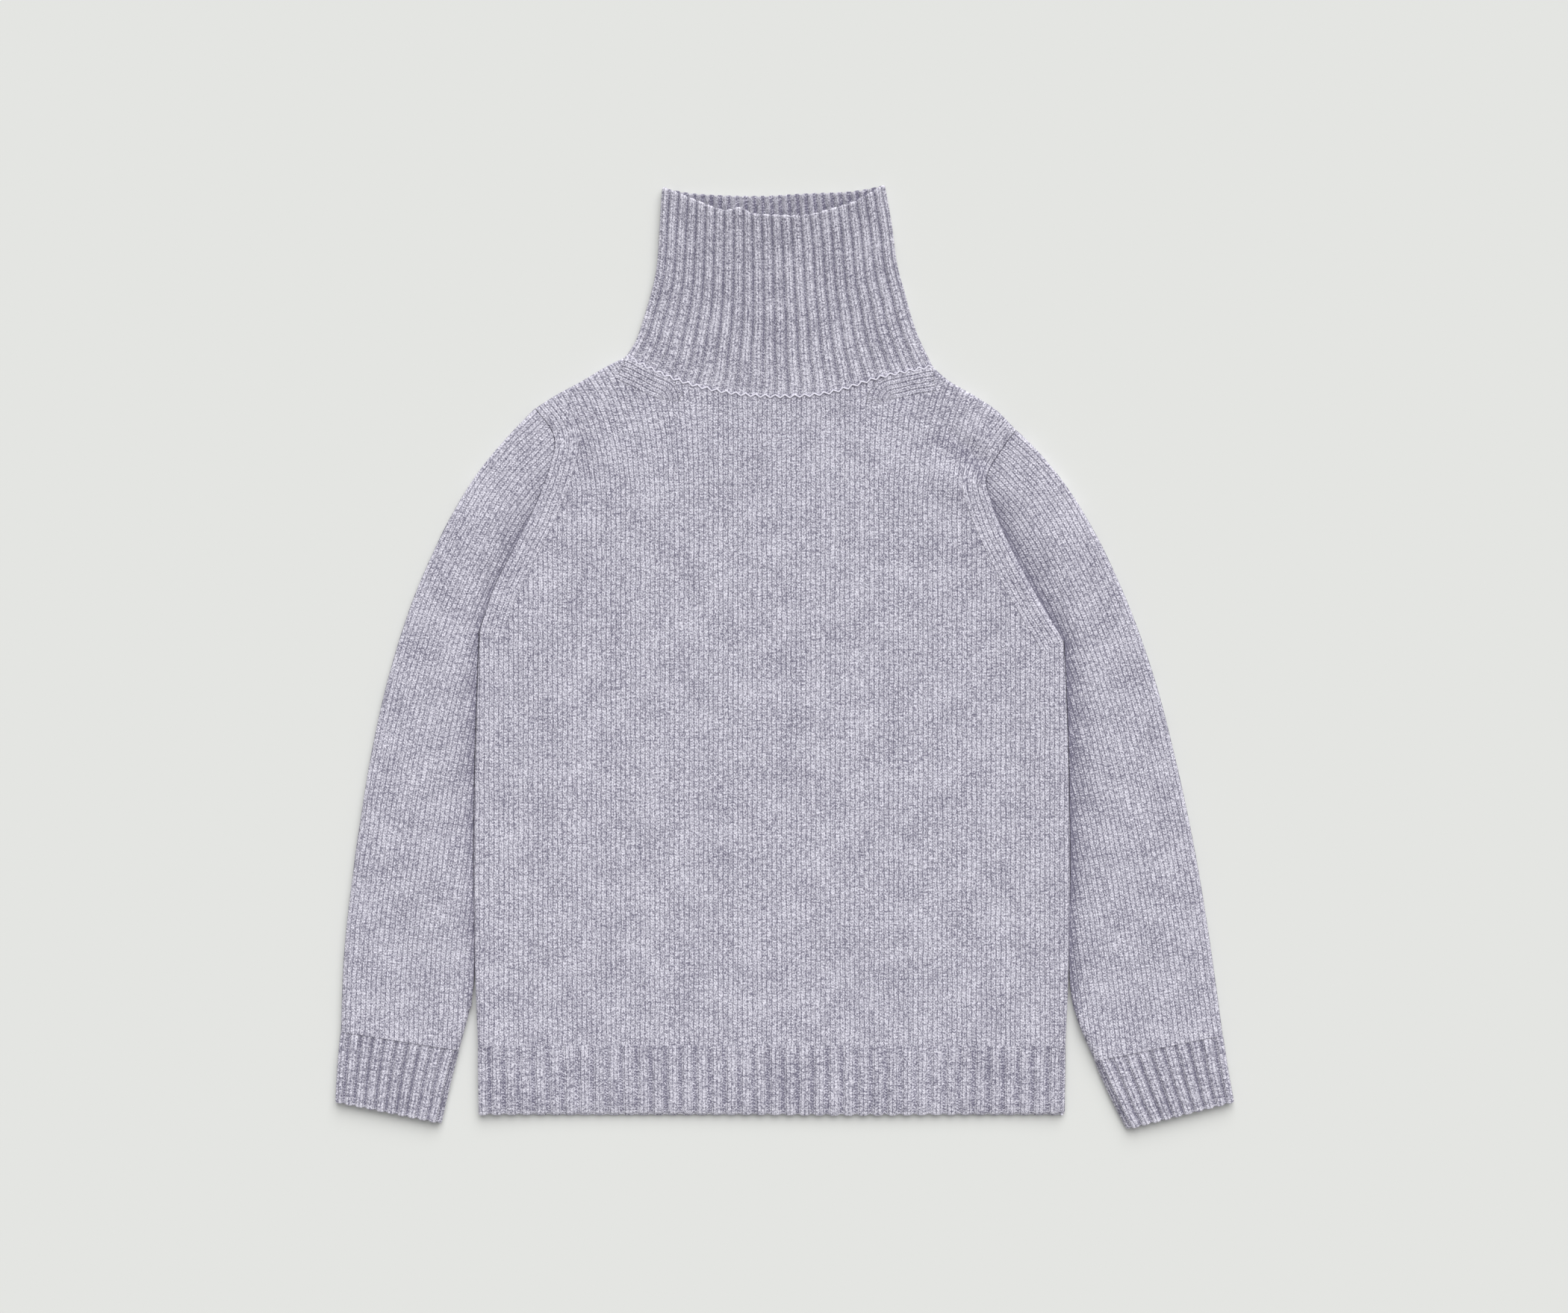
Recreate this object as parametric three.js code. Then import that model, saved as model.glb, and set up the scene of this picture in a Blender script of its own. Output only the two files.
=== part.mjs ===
// A turtleneck sweater in wool, laid flat on its back with the sleeves straight down its sides.
//
// Millimetres. +X points to the wearer's left, +Y to the neck and +Z up from the surface, which is z = 0.
// Every piece that a knitter makes is one wall of cloth: front, back, two sleeves, two cuffs, two hem
// ribs and the tall collar. Sleeves, cuffs and collar are tubes pressed flat; the front lies on the back.
// Each piece is a patch stretched between its four edges, lifted by a height field and given its thickness.
import * as THREE from "three";

// ---- Cloth -------------------------------------------------------------------------------------------
const CLOTH = 2.8; // thickness of the plain knit
const RIB = 3.4; // thickness of the ribbed bands
const SEAM = 0.3; // gap that is left between two pieces at a seam
const LAYER_GAP = 0.4; // least gap between the front and the back
const LEAST_HEIGHT = 2 * CLOTH + LAYER_GAP; // top of the front where it is pressed down on the back

// ---- Heights above the surface -----------------------------------------------------------------------
const MIDDLE = 4.5; // height of the side seams and of the sleeves' folds
const EDGE_RADIUS = 4.5; // how far in from such an edge the cloth turns over
const BODY_HEIGHT = 7.2; // top of the front, away from its edges
const SIDE_HEIGHT = 9; // top of the front near its side seams
const SLEEVE_HEIGHT = 8.6;
const HEM_HEIGHT = 7.6;
const CUFF_HEIGHT = 8.6;
const NECK_HEIGHT = 9; // top of the collar at the neck seam
const MOUTH_HEIGHT = 10.2; // top of the collar at its open end
const PUFF_REACH = 34; // how far the extra height of an edge reaches into the front
const VALLEY_DEPTH = 2.6; // how far the armhole seams sink in
const VALLEY_WIDTH = 8;
const VALLEY_FADE = 24; // length over which a valley runs out at its ends
const FOLD_END = 0.35; // share of a fold's rise that is left at its two ends

// ---- The body's outline ------------------------------------------------------------------------------
const BODY_X = -11; // centre line of the body: the sleeves lie a little further out on the wearer's left
const HEM_SEAM_Y = -330;
const FRONT_HEM_Y = -388.6;
const BACK_HEM_Y = -389.2; // the back's rib shows just below the front's
const HEM_HALF_WIDTH = 249;

// Half the body's width at each height, from the hem's seam up.
const SIDE_SEAM = [
  { y: HEM_SEAM_Y, half: 250 },
  { y: -250, half: 253 },
  { y: -140, half: 253.5 },
  { y: -40, half: 251 },
];

// The edges that differ from side to side: the wearer's right lies on -X, the left on +X.
const SIDES = {
  right: {
    sign: -1,
    // Underarm to the point of the shoulder.
    armhole: [
      { x: -260, y: 19 },
      { x: -248, y: 57 },
      { x: -229, y: 95 },
      { x: -213, y: 127 },
      { x: -200.5, y: 159 },
      { x: -196, y: 187 },
      { x: -212.5, y: 211.5 },
    ],
    // Point of the shoulder to the neck.
    shoulder: [
      { x: -212.5, y: 211.5 },
      { x: -195.5, y: 222.5 },
      { x: -172.5, y: 235 },
      { x: -151.5, y: 247.5 },
      { x: -135, y: 255.5 },
    ],
    // The fold on the sleeve's outer side, from the shoulder down to the cuff.
    fold: [
      { x: -212.5, y: 211.5 },
      { x: -245, y: 178 },
      { x: -273, y: 139.5 },
      { x: -310.5, y: 63.5 },
      { x: -336, y: -13 },
      { x: -353, y: -89 },
      { x: -364.5, y: -165 },
      { x: -374, y: -241 },
      { x: -377.5, y: -318 },
    ],
    // The sleeve's inner edge, where it has left the body's side.
    inner: [
      { x: -268, y: -297 },
      { x: -273, y: -320 },
      { x: -277, y: -334 },
    ],
    cuffFold: [
      { x: -377.5, y: -318 },
      { x: -380, y: -350 },
      { x: -381.6, y: -378 },
    ],
    cuffInner: [
      { x: -277, y: -334 },
      { x: -283.5, y: -357 },
      { x: -288.5, y: -378 },
      { x: -292.5, y: -396 },
    ],
    // The side of the collar, from the neck seam to the open end.
    collar: [
      { x: -135, y: 255.5 },
      { x: -126, y: 270 },
      { x: -120, y: 287 },
      { x: -113, y: 310 },
      { x: -108, y: 334 },
      { x: -105.5, y: 370 },
      { x: -103.5, y: 399 },
    ],
  },
  left: {
    sign: 1,
    armhole: [
      { x: 237.5, y: 13 },
      { x: 215, y: 51 },
      { x: 199.5, y: 79 },
      { x: 186.5, y: 105 },
      { x: 176, y: 130 },
      { x: 171.5, y: 152 },
      { x: 183, y: 174 },
      { x: 197, y: 193 },
    ],
    shoulder: [
      { x: 197, y: 193 },
      { x: 181, y: 209.5 },
      { x: 161.5, y: 222.5 },
      { x: 140, y: 235 },
      { x: 126, y: 247 },
    ],
    fold: [
      { x: 197, y: 193 },
      { x: 214.5, y: 177 },
      { x: 245, y: 139.5 },
      { x: 284.5, y: 63.5 },
      { x: 313, y: -13 },
      { x: 333, y: -89 },
      { x: 349, y: -165 },
      { x: 361.5, y: -241 },
      { x: 372.5, y: -321 },
    ],
    inner: [
      { x: 249, y: -311 },
      { x: 257, y: -328 },
      { x: 263.5, y: -343 },
    ],
    cuffFold: [
      { x: 372.5, y: -321 },
      { x: 376.5, y: -350 },
      { x: 381.6, y: -378 },
    ],
    cuffInner: [
      { x: 263.5, y: -343 },
      { x: 272, y: -362 },
      { x: 282, y: -383 },
      { x: 291.5, y: -401 },
    ],
    collar: [
      { x: 126, y: 247 },
      { x: 114.5, y: 270 },
      { x: 108, y: 287 },
      { x: 101.5, y: 310 },
      { x: 95, y: 334 },
      { x: 90, y: 370 },
      { x: 84.5, y: 401 },
    ],
  },
};
const SLEEVE_BESIDE_SHARES = [0.85, 0.65, 0.42, 0.18]; // where along the side seam a sleeve lies against it
const SLEEVE_GAP = 0.8; // gap between the sleeve and the side seam
const ARMHOLE_GAP = 0.4; // the same at the armhole seam, along X
const SLANTED_GAP = 0.5; // the seam gap along Y, at the cuffs and the neck, where the seam slants

// The neck seam on the front and on the back, from the wearer's right to the left.
const FRONT_NECK = [
  { x: -135, y: 255.5 },
  { x: -93, y: 236 },
  { x: -50, y: 225 },
  { x: -7, y: 221.5 },
  { x: 37, y: 224.5 },
  { x: 82, y: 238 },
  { x: 126, y: 247 },
];
const BACK_NECK = [
  { x: -135, y: 255.5 },
  { x: -100, y: 246 },
  { x: -50, y: 240 },
  { x: -5, y: 238 },
  { x: 45, y: 239 },
  { x: 90, y: 242.5 },
  { x: 126, y: 247 },
];
// The collar's open end: the front of it sags and shows the inside of the back.
const FRONT_MOUTH = [
  { x: -103.5, y: 399 },
  { x: -79, y: 389 },
  { x: -52.5, y: 379 },
  { x: -38, y: 381 },
  { x: -27.5, y: 376 },
  { x: -5.5, y: 374.5 },
  { x: 18, y: 374.5 },
  { x: 36, y: 379 },
  { x: 59, y: 386.5 },
  { x: 84.5, y: 401 },
];
const BACK_MOUTH = [
  { x: -103.5, y: 399 },
  { x: -76, y: 394 },
  { x: -25, y: 392 },
  { x: 16, y: 394 },
  { x: 57, y: 396 },
  { x: 84.5, y: 401 },
];

// The rows of a sleeve: how far along its outer fold and its inner edge each one ends, how closely it
// follows the armhole seam in between, and how far it bows out round the underarm.
const SLEEVE_ROWS = [
  { fold: 0, inner: 0, follow: 1, bow: 0 },
  { fold: 0.02, inner: 0.003, follow: 0.85, bow: 8 },
  { fold: 0.05, inner: 0.008, follow: 0.6, bow: 15 },
  { fold: 0.09, inner: 0.018, follow: 0.33, bow: 18 },
  { fold: 0.135, inner: 0.035, follow: 0.12, bow: 18 },
  { fold: 0.19, inner: 0.09, follow: 0, bow: 13 },
  { fold: 0.27, inner: 0.18, follow: 0, bow: 6 },
  { fold: 0.36, inner: 0.28, follow: 0, bow: 2 },
  { fold: 0.46, inner: 0.39, follow: 0, bow: 0 },
  { fold: 0.56, inner: 0.51, follow: 0, bow: 0 },
  { fold: 0.67, inner: 0.63, follow: 0, bow: 0 },
  { fold: 0.78, inner: 0.75, follow: 0, bow: 0 },
  { fold: 0.89, inner: 0.88, follow: 0, bow: 0 },
  { fold: 1, inner: 1, follow: 0, bow: 0 },
];

// The front's main folds: soft ridges (rise above 0) and troughs (below 0) from one end to the other.
const FRONT_FOLDS = [
  { x0: -188, y0: 180, x1: -222, y1: 80, width: 9, rise: 2.4 }, // beside the right armhole
  { x0: -170, y0: 180, x1: -176, y1: 100, width: 11, rise: -1.2 },
  { x0: 118, y0: 178, x1: 168, y1: 112, width: 11, rise: 2.6 }, // under the left shoulder
  { x0: 162, y0: 118, x1: 222, y1: 22, width: 10, rise: 2.0 },
  { x0: 134, y0: 187, x1: 172, y1: 146, width: 7, rise: -1.2 },
];

// ---- How finely the pieces are divided ---------------------------------------------------------------
const EDGE_STEPS = [0.9, 3, 6.7, 16]; // distances from a turned edge where a division lies
const ARMHOLE_SHARES = [0, 0.1, 0.22, 0.34, 0.46, 0.58, 0.7, 0.8, 0.9, 1];
const SLEEVE_EDGE_SHARES = [0.006, 0.02, 0.045];
const NECK_COLUMNS = 8;
const SHOULDER_COLUMNS = 2;
const SIDE_ROWS = 8;
const BACK_SIDE_ROWS = 3;
const COLLAR_ROWS = 9;
const BAND_ROWS = 3; // rows in a cuff or a hem rib
const HEM_COLUMNS = 12;
const UNDERARM_STEPS = [0.02, 0.045]; // shares of the armhole where a panel has rows next to the underarm
const BOW_SKEW = 3; // how far a sleeve row's bow is pushed towards its inner edge: 1 leaves it midway
const OUTLINE_STEPS = 60; // straight steps into which an edge is divided to measure distances from it
const ON_EDGE = 0.05; // a point nearer than this to an edge lies on it

// ---- Edges -------------------------------------------------------------------------------------------
const vector = ({ x, y }) => new THREE.Vector2(x, y);
const smoothEdge = (rows) => new THREE.SplineCurve(rows.map(vector));
const alongEdge = (rows) => {
  const curve = smoothEdge(rows);
  return (share) => curve.getPointAt(THREE.MathUtils.clamp(share, 0, 1));
};
const straightEdge = (a, b) => (share) => new THREE.Vector2().lerpVectors(a, b, share);

// One edge made of several, each up to its own share of the whole.
const joinedEdge = (parts) => (share) => {
  let from = 0;
  for (const { edge, to } of parts) {
    if (share <= to || to === 1) return edge((share - from) / (to - from));
    from = to;
  }
  return parts.at(-1).edge(1);
};

// The same edge in straight stretches between the given shares, so that both sides of a seam match.
const facetedEdge = (edge, shares) => (share) => {
  const next = Math.max(1, shares.findIndex((value) => value >= share - 1e-9));
  const [a, b] = [shares[next - 1], shares[next]];
  return new THREE.Vector2().lerpVectors(edge(a), edge(b), (share - a) / (b - a));
};

// A patch between four edges, u across and v up (Coons).
const patch = (bottom, top, left, right) => (u, v) => {
  const across = bottom(u).multiplyScalar(1 - v).add(top(u).multiplyScalar(v));
  const up = left(v).multiplyScalar(1 - u).add(right(v).multiplyScalar(u));
  const corners = bottom(0).multiplyScalar((1 - u) * (1 - v))
    .add(bottom(1).multiplyScalar(u * (1 - v)))
    .add(top(0).multiplyScalar((1 - u) * v))
    .add(top(1).multiplyScalar(u * v));
  return across.add(up).sub(corners);
};

const outlineOf = (...edges) =>
  edges.map((edge) => Array.from({ length: OUTLINE_STEPS + 1 }, (_, i) => edge(i / OUTLINE_STEPS)));

function distanceToSegment(point, a, b) {
  const run = b.clone().sub(a);
  const share = THREE.MathUtils.clamp(point.clone().sub(a).dot(run) / run.lengthSq(), 0, 1);
  return point.distanceTo(a.clone().addScaledVector(run, share));
}

function distanceTo(outline, point) {
  let nearest = Infinity;
  for (const line of outline)
    for (let i = 1; i < line.length; i++)
      nearest = Math.min(nearest, distanceToSegment(point, line[i - 1], line[i]));
  return nearest < ON_EDGE ? 0 : nearest;
}

// ---- Heights -----------------------------------------------------------------------------------------
const bell = (distance, width) => Math.exp(-((distance / width) ** 2));

// 0 on a turned edge, 1 from EDGE_RADIUS inwards: a quarter circle.
const turnOver = (distance) => Math.sqrt(1 - (1 - Math.min(distance / EDGE_RADIUS, 1)) ** 2);

function foldRise(folds, point) {
  let rise = 0;
  for (const fold of folds) {
    const a = new THREE.Vector2(fold.x0, fold.y0);
    const b = new THREE.Vector2(fold.x1, fold.y1);
    const off = distanceToSegment(point, a, b);
    const along = point.clone().sub(a).dot(b.clone().sub(a)) / a.distanceToSquared(b);
    const share = THREE.MathUtils.clamp(along, 0, 1);
    const taper = FOLD_END + (1 - FOLD_END) * Math.sin(Math.PI * share);
    rise += fold.rise * taper * bell(off, fold.width);
  }
  return rise;
}

// ---- Solids ------------------------------------------------------------------------------------------
// Joins two grids of points of the same size, the outer and the inner face of a wall, into one closed
// solid. Each is a list of rows. A ring's rows close on themselves.
function wallBetween(outer, inner, isRing) {
  const rows = outer.length;
  const columns = outer[0].length;
  const positions = [...outer.flat(), ...inner.flat()].flatMap((p) => [p.x, p.y, p.z]);
  const index = [];
  const at = (face, row, column) => face * rows * columns + row * columns + (column % columns);
  const quad = (a, b, c, d) => index.push(a, b, c, a, c, d);
  const lastColumn = isRing ? columns : columns - 1;
  for (let row = 0; row < rows - 1; row++)
    for (let column = 0; column < lastColumn; column++) {
      quad(at(0, row, column), at(0, row, column + 1), at(0, row + 1, column + 1), at(0, row + 1, column));
      quad(at(1, row, column), at(1, row + 1, column), at(1, row + 1, column + 1), at(1, row, column + 1));
    }
  for (let column = 0; column < lastColumn; column++) {
    quad(at(1, 0, column), at(1, 0, column + 1), at(0, 0, column + 1), at(0, 0, column));
    const last = rows - 1;
    quad(at(0, last, column), at(0, last, column + 1), at(1, last, column + 1), at(1, last, column));
  }
  if (!isRing)
    for (let row = 0; row < rows - 1; row++) {
      quad(at(0, row, 0), at(0, row + 1, 0), at(1, row + 1, 0), at(1, row, 0));
      const last = columns - 1;
      quad(at(1, row, last), at(1, row + 1, last), at(0, row + 1, last), at(0, row, last));
    }
  const geometry = new THREE.BufferGeometry();
  geometry.setAttribute("position", new THREE.Float32BufferAttribute(positions, 3));
  geometry.setIndex(index);
  return facingOut(geometry);
}

function facingOut(geometry) {
  const position = geometry.attributes.position;
  const corners = geometry.index.array;
  const [a, b, c] = [new THREE.Vector3(), new THREE.Vector3(), new THREE.Vector3()];
  let volume = 0;
  for (let i = 0; i < corners.length; i += 3) {
    a.fromBufferAttribute(position, corners[i]);
    b.fromBufferAttribute(position, corners[i + 1]);
    c.fromBufferAttribute(position, corners[i + 2]);
    volume += a.dot(b.cross(c)) / 6;
  }
  if (volume < 0)
    for (let i = 0; i < corners.length; i += 3) [corners[i], corners[i + 1]] = [corners[i + 1], corners[i]];
  return geometry;
}

// The normal at each point of a grid, as a grid of the same size.
function normalsOf(grid, isRing) {
  const columns = grid[0].length;
  const index = [];
  for (let row = 0; row < grid.length - 1; row++)
    for (let column = 0; column < (isRing ? columns : columns - 1); column++) {
      const [a, b] = [row * columns + column, row * columns + ((column + 1) % columns)];
      index.push(a, b, b + columns, a, b + columns, a + columns);
    }
  const sheet = new THREE.BufferGeometry();
  const positions = grid.flat().flatMap((p) => [p.x, p.y, p.z]);
  sheet.setAttribute("position", new THREE.Float32BufferAttribute(positions, 3));
  sheet.setIndex(index);
  sheet.computeVertexNormals();
  return grid.map((row, r) =>
    row.map((_, c) => new THREE.Vector3().fromBufferAttribute(sheet.attributes.normal, r * columns + c)));
}

// A flat panel. plan(u, v) gives its outline's patch, edges the outline along which it turns over to
// meet the other layer, and heightAt its top. The back is the same panel with its outer face down.
function panel({ columns, rows, plan, edges, heightAt, thickness, isBack }) {
  const outer = rows.map((v) => columns.map((u) => {
    const point = plan(u, v);
    const turned = turnOver(distanceTo(edges, point));
    const seamHeight = MIDDLE + (isBack ? -SEAM : SEAM) / 2;
    const flatHeight = isBack ? 0 : heightAt(point);
    return new THREE.Vector3(point.x, point.y, THREE.MathUtils.lerp(seamHeight, flatHeight, turned));
  }));
  const normals = normalsOf(outer, false);
  const isTurned = (point) => distanceTo(edges, new THREE.Vector2(point.x, point.y)) === 0;
  const inner = outer.map((row, r) => row.map((p, c) => {
    const normal = normals[r][c].multiplyScalar(isBack ? -1 : 1);
    const seam = seamDirection(outer, r, c, isTurned);
    if (seam) keepInSeam(normal, seam);
    if (isTurned(p)) normal.setZ(0).normalize();
    return p.clone().addScaledVector(normal, -thickness);
  }));
  return wallBetween(outer, inner, false);
}

// Turns a normal into the upright plane of a seam, so that both walls of the seam end in that plane.
function keepInSeam(normal, seam) {
  const along = normal.x * seam.x + normal.y * seam.y;
  normal.set(seam.x * along, seam.y * along, normal.z).normalize();
}

// The direction of the seam that a panel's border point lies on, or null inside and on a turned edge.
function seamDirection(grid, r, c, isTurned) {
  const [lastRow, lastColumn] = [grid.length - 1, grid[0].length - 1];
  const neighbours = [];
  if (r === 0 || r === lastRow) neighbours.push([r, c - 1], [r, c + 1]);
  if (c === 0 || c === lastColumn) neighbours.push([r - 1, c], [r + 1, c]);
  let seam = null;
  for (const [row, column] of neighbours) {
    const next = grid[row]?.[column];
    if (!next) continue;
    if (isTurned(grid[r][c]) && isTurned(next)) continue;
    const step = new THREE.Vector2(next.x - grid[r][c].x, next.y - grid[r][c].y).normalize();
    if (seam && seam.dot(step) < 0) step.negate();
    seam = seam ? seam.add(step) : step;
  }
  return seam && seam.normalize();
}

// A tube pressed flat. upper(w, v) and lower(w, v) give the plan of its two layers, w across from one
// fold to the other and v along it.
function flatTube({ shares, rows, upper, lower, edges, heightAt, thickness }) {
  const ring = [
    ...shares.map((w) => ({ w, isUpper: true })),
    ...shares.slice(1, -1).reverse().map((w) => ({ w, isUpper: false })),
  ];
  const outer = rows.map((v) => ring.map(({ w, isUpper }) => {
    const point = (isUpper ? upper : lower)(w, v);
    const turned = w === 0 || w === 1 ? 0 : turnOver(distanceTo(edges, point));
    const flatHeight = isUpper ? heightAt(point, v) : 0;
    return new THREE.Vector3(point.x, point.y, THREE.MathUtils.lerp(MIDDLE, flatHeight, turned));
  }));
  const normals = normalsOf(outer, true);
  const outward = Math.sign(normals[Math.floor(rows.length / 2)][Math.floor(shares.length / 2)].z);
  const inner = outer.map((row, r) => row.map((p, c) => {
    const normal = normals[r][c].multiplyScalar(outward);
    if (r === 0 || r === outer.length - 1) {
      const isFold = c === 0 || c === shares.length - 1;
      const next = row[c === 0 ? row.length - 1 : (c + 1) % row.length];
      const last = row[isFold ? c : c - 1];
      keepInSeam(normal, new THREE.Vector2(next.x - last.x, next.y - last.y).normalize());
      if (isFold) normal.setZ(0).normalize();
    }
    return p.clone().addScaledVector(normal, -thickness);
  }));
  return wallBetween(outer, inner, true);
}

// ---- The body's edges --------------------------------------------------------------------------------
const sideSeam = (side) =>
  alongEdge([
    ...SIDE_SEAM.map(({ y, half }) => ({ x: BODY_X + side.sign * half, y })),
    side.armhole[0],
  ]);

const evenShares = (count) => Array.from({ length: count + 1 }, (_, i) => i / count);

// Distances from both ends of a length, as shares of it, with even steps between them.
function divided(length, count, fromStart, fromEnd) {
  const start = fromStart.map((distance) => distance / length);
  const end = fromEnd.map((distance) => 1 - distance / length).reverse();
  const first = start.at(-1) ?? 0;
  const last = end[0] ?? 1;
  const between = evenShares(count).slice(1, -1).map((share) => THREE.MathUtils.lerp(first, last, share));
  return [0, ...start, ...between, ...end, 1];
}

const BODY_WIDTH = 2 * SIDE_SEAM[0].half;
const UNDERARM_SHARE = 0.62; // share of the panels' sides that lies below the underarms
const NECK_SHARES = { right: 0.25, left: 0.77 }; // where the neck starts and ends along the panels' tops
const ARMHOLE_LENGTH = 215;
const SHOULDER_EDGE_SHARES = EDGE_STEPS.slice(0, 3).map((distance) => 1 - distance / ARMHOLE_LENGTH);

// Shares across the body: both shoulders and the neck between them.
const neckColumns = evenShares(NECK_COLUMNS)
  .map((share) => THREE.MathUtils.lerp(NECK_SHARES.right, NECK_SHARES.left, share));
const shoulderWidth = BODY_WIDTH * NECK_SHARES.right;
const rightColumns = divided(shoulderWidth, SHOULDER_COLUMNS + 1, EDGE_STEPS, [])
  .map((share) => share * NECK_SHARES.right);
const leftColumns = divided(shoulderWidth, SHOULDER_COLUMNS + 1, [], EDGE_STEPS)
  .map((share) => THREE.MathUtils.lerp(NECK_SHARES.left, 1, share));
const PANEL_COLUMNS = [...rightColumns, ...neckColumns.slice(1, -1), ...leftColumns];

// Shares up the body: the side seam, then the armhole with its divisions shared with the sleeve.
const panelRows = (sideRows) => [
  ...Array.from({ length: sideRows }, (_, i) => (UNDERARM_SHARE * i) / sideRows),
  ...[...ARMHOLE_SHARES, ...SHOULDER_EDGE_SHARES, ...UNDERARM_STEPS]
    .sort((a, b) => a - b)
    .map((share) => THREE.MathUtils.lerp(UNDERARM_SHARE, 1, share)),
];

const armholeSeam = (side) => facetedEdge(alongEdge(side.armhole), ARMHOLE_SHARES);
const neckSeam = (rows) => facetedEdge(alongEdge(rows), evenShares(NECK_COLUMNS));

function bodyPlan(neckRows) {
  const [right, left] = [SIDES.right, SIDES.left];
  const side = (one) => joinedEdge([
    { edge: sideSeam(one), to: UNDERARM_SHARE },
    { edge: armholeSeam(one), to: 1 },
  ]);
  const fromNeck = alongEdge([...left.shoulder].reverse());
  const top = joinedEdge([
    { edge: alongEdge(right.shoulder), to: NECK_SHARES.right },
    { edge: neckSeam(neckRows), to: NECK_SHARES.left },
    { edge: fromNeck, to: 1 },
  ]);
  const bottom = straightEdge(sideSeam(right)(0), sideSeam(left)(0));
  return patch(bottom, top, side(right), side(left));
}

const bodyEdges = outlineOf(
  sideSeam(SIDES.right), sideSeam(SIDES.left),
  alongEdge(SIDES.right.shoulder), alongEdge(SIDES.left.shoulder),
);
const armholes = outlineOf(armholeSeam(SIDES.right), armholeSeam(SIDES.left));

// The armhole seams sink in, but not at their two ends, where the cloth turns over.
const valley = (point, toEdge) =>
  VALLEY_DEPTH * bell(distanceTo(armholes, point), VALLEY_WIDTH) * Math.min(toEdge / VALLEY_FADE, 1);

function frontHeight(point) {
  const toEdge = distanceTo(bodyEdges, point);
  const puff = (SIDE_HEIGHT - BODY_HEIGHT) * bell(toEdge, PUFF_REACH);
  const height = BODY_HEIGHT + puff + foldRise(FRONT_FOLDS, point) - valley(point, toEdge);
  return Math.max(height, LEAST_HEIGHT);
}

function bodyPanel(isBack) {
  return panel({
    columns: PANEL_COLUMNS,
    rows: panelRows(isBack ? BACK_SIDE_ROWS : SIDE_ROWS),
    plan: bodyPlan(isBack ? BACK_NECK : FRONT_NECK),
    edges: bodyEdges,
    heightAt: frontHeight,
    thickness: CLOTH,
    isBack,
  });
}

// ---- Hem ribs ----------------------------------------------------------------------------------------
function hemRib(isBack) {
  const hemY = isBack ? BACK_HEM_Y : FRONT_HEM_Y;
  const corner = (side, y, half) => new THREE.Vector2(BODY_X + side.sign * half, y);
  const [right, left] = [SIDES.right, SIDES.left];
  const topY = HEM_SEAM_Y - SEAM;
  const topHalf = SIDE_SEAM[0].half;
  const rightEdge = straightEdge(corner(right, hemY, HEM_HALF_WIDTH), corner(right, topY, topHalf));
  const leftEdge = straightEdge(corner(left, hemY, HEM_HALF_WIDTH), corner(left, topY, topHalf));
  return panel({
    columns: divided(BODY_WIDTH, HEM_COLUMNS, EDGE_STEPS, EDGE_STEPS),
    rows: evenShares(BAND_ROWS),
    plan: patch(
      straightEdge(rightEdge(0), leftEdge(0)), straightEdge(rightEdge(1), leftEdge(1)), rightEdge, leftEdge,
    ),
    edges: outlineOf(rightEdge, leftEdge),
    heightAt: (point) => {
      const toEdge = Math.abs(HEM_HALF_WIDTH - Math.abs(point.x - BODY_X));
      return HEM_HEIGHT + (SIDE_HEIGHT - HEM_HEIGHT) * bell(toEdge, PUFF_REACH);
    },
    thickness: RIB,
    isBack,
  });
}

// ---- Sleeves and cuffs -------------------------------------------------------------------------------
// Shares round a sleeve's upper layer, from its outer fold to its inner edge.
const SLEEVE_RING = [
  ...ARMHOLE_SHARES.map((share) => 1 - share),
  ...SLEEVE_EDGE_SHARES,
  ...SLEEVE_EDGE_SHARES.map((share) => 1 - share),
].sort((a, b) => a - b);

// A sleeve's inner edge lies against the side seam before it leaves the body.
function sleeveInner(side) {
  const seam = sideSeam(side);
  const beside = SLEEVE_BESIDE_SHARES
    .map((share) => seam(share))
    .map(({ x, y }) => ({ x: x + side.sign * SLEEVE_GAP, y }));
  const underarm = { x: side.armhole[0].x + side.sign * ARMHOLE_GAP, y: side.armhole[0].y };
  return alongEdge([underarm, ...beside, ...side.inner]);
}

// Rows of a sleeve run across from its fold to its inner edge. The first ones follow the armhole seam and
// bow out round the underarm, so that no row crosses the body.
function sleevePlan(side) {
  const armhole = armholeSeam(side);
  const fold = alongEdge(side.fold);
  const inner = sleeveInner(side);
  const gap = new THREE.Vector2(side.sign * ARMHOLE_GAP, 0);
  return (w, row) => {
    const straight = new THREE.Vector2().lerpVectors(fold(row.fold), inner(row.inner), w);
    const seam = armhole(1 - w).add(gap);
    const bow = new THREE.Vector2(side.sign * row.bow * Math.sin(Math.PI * w ** BOW_SKEW), 0);
    return straight.lerp(seam, row.follow).add(bow);
  };
}

function sleeve(side) {
  const plan = sleevePlan(side);
  const edges = outlineOf(alongEdge(side.fold), sleeveInner(side));
  return flatTube({
    shares: SLEEVE_RING,
    rows: SLEEVE_ROWS,
    upper: plan,
    lower: plan,
    edges,
    heightAt: (point) => {
      const toEdge = distanceTo(edges, point);
      return Math.max(SLEEVE_HEIGHT - valley(point, toEdge), LEAST_HEIGHT);
    },
    thickness: CLOTH,
  });
}

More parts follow.
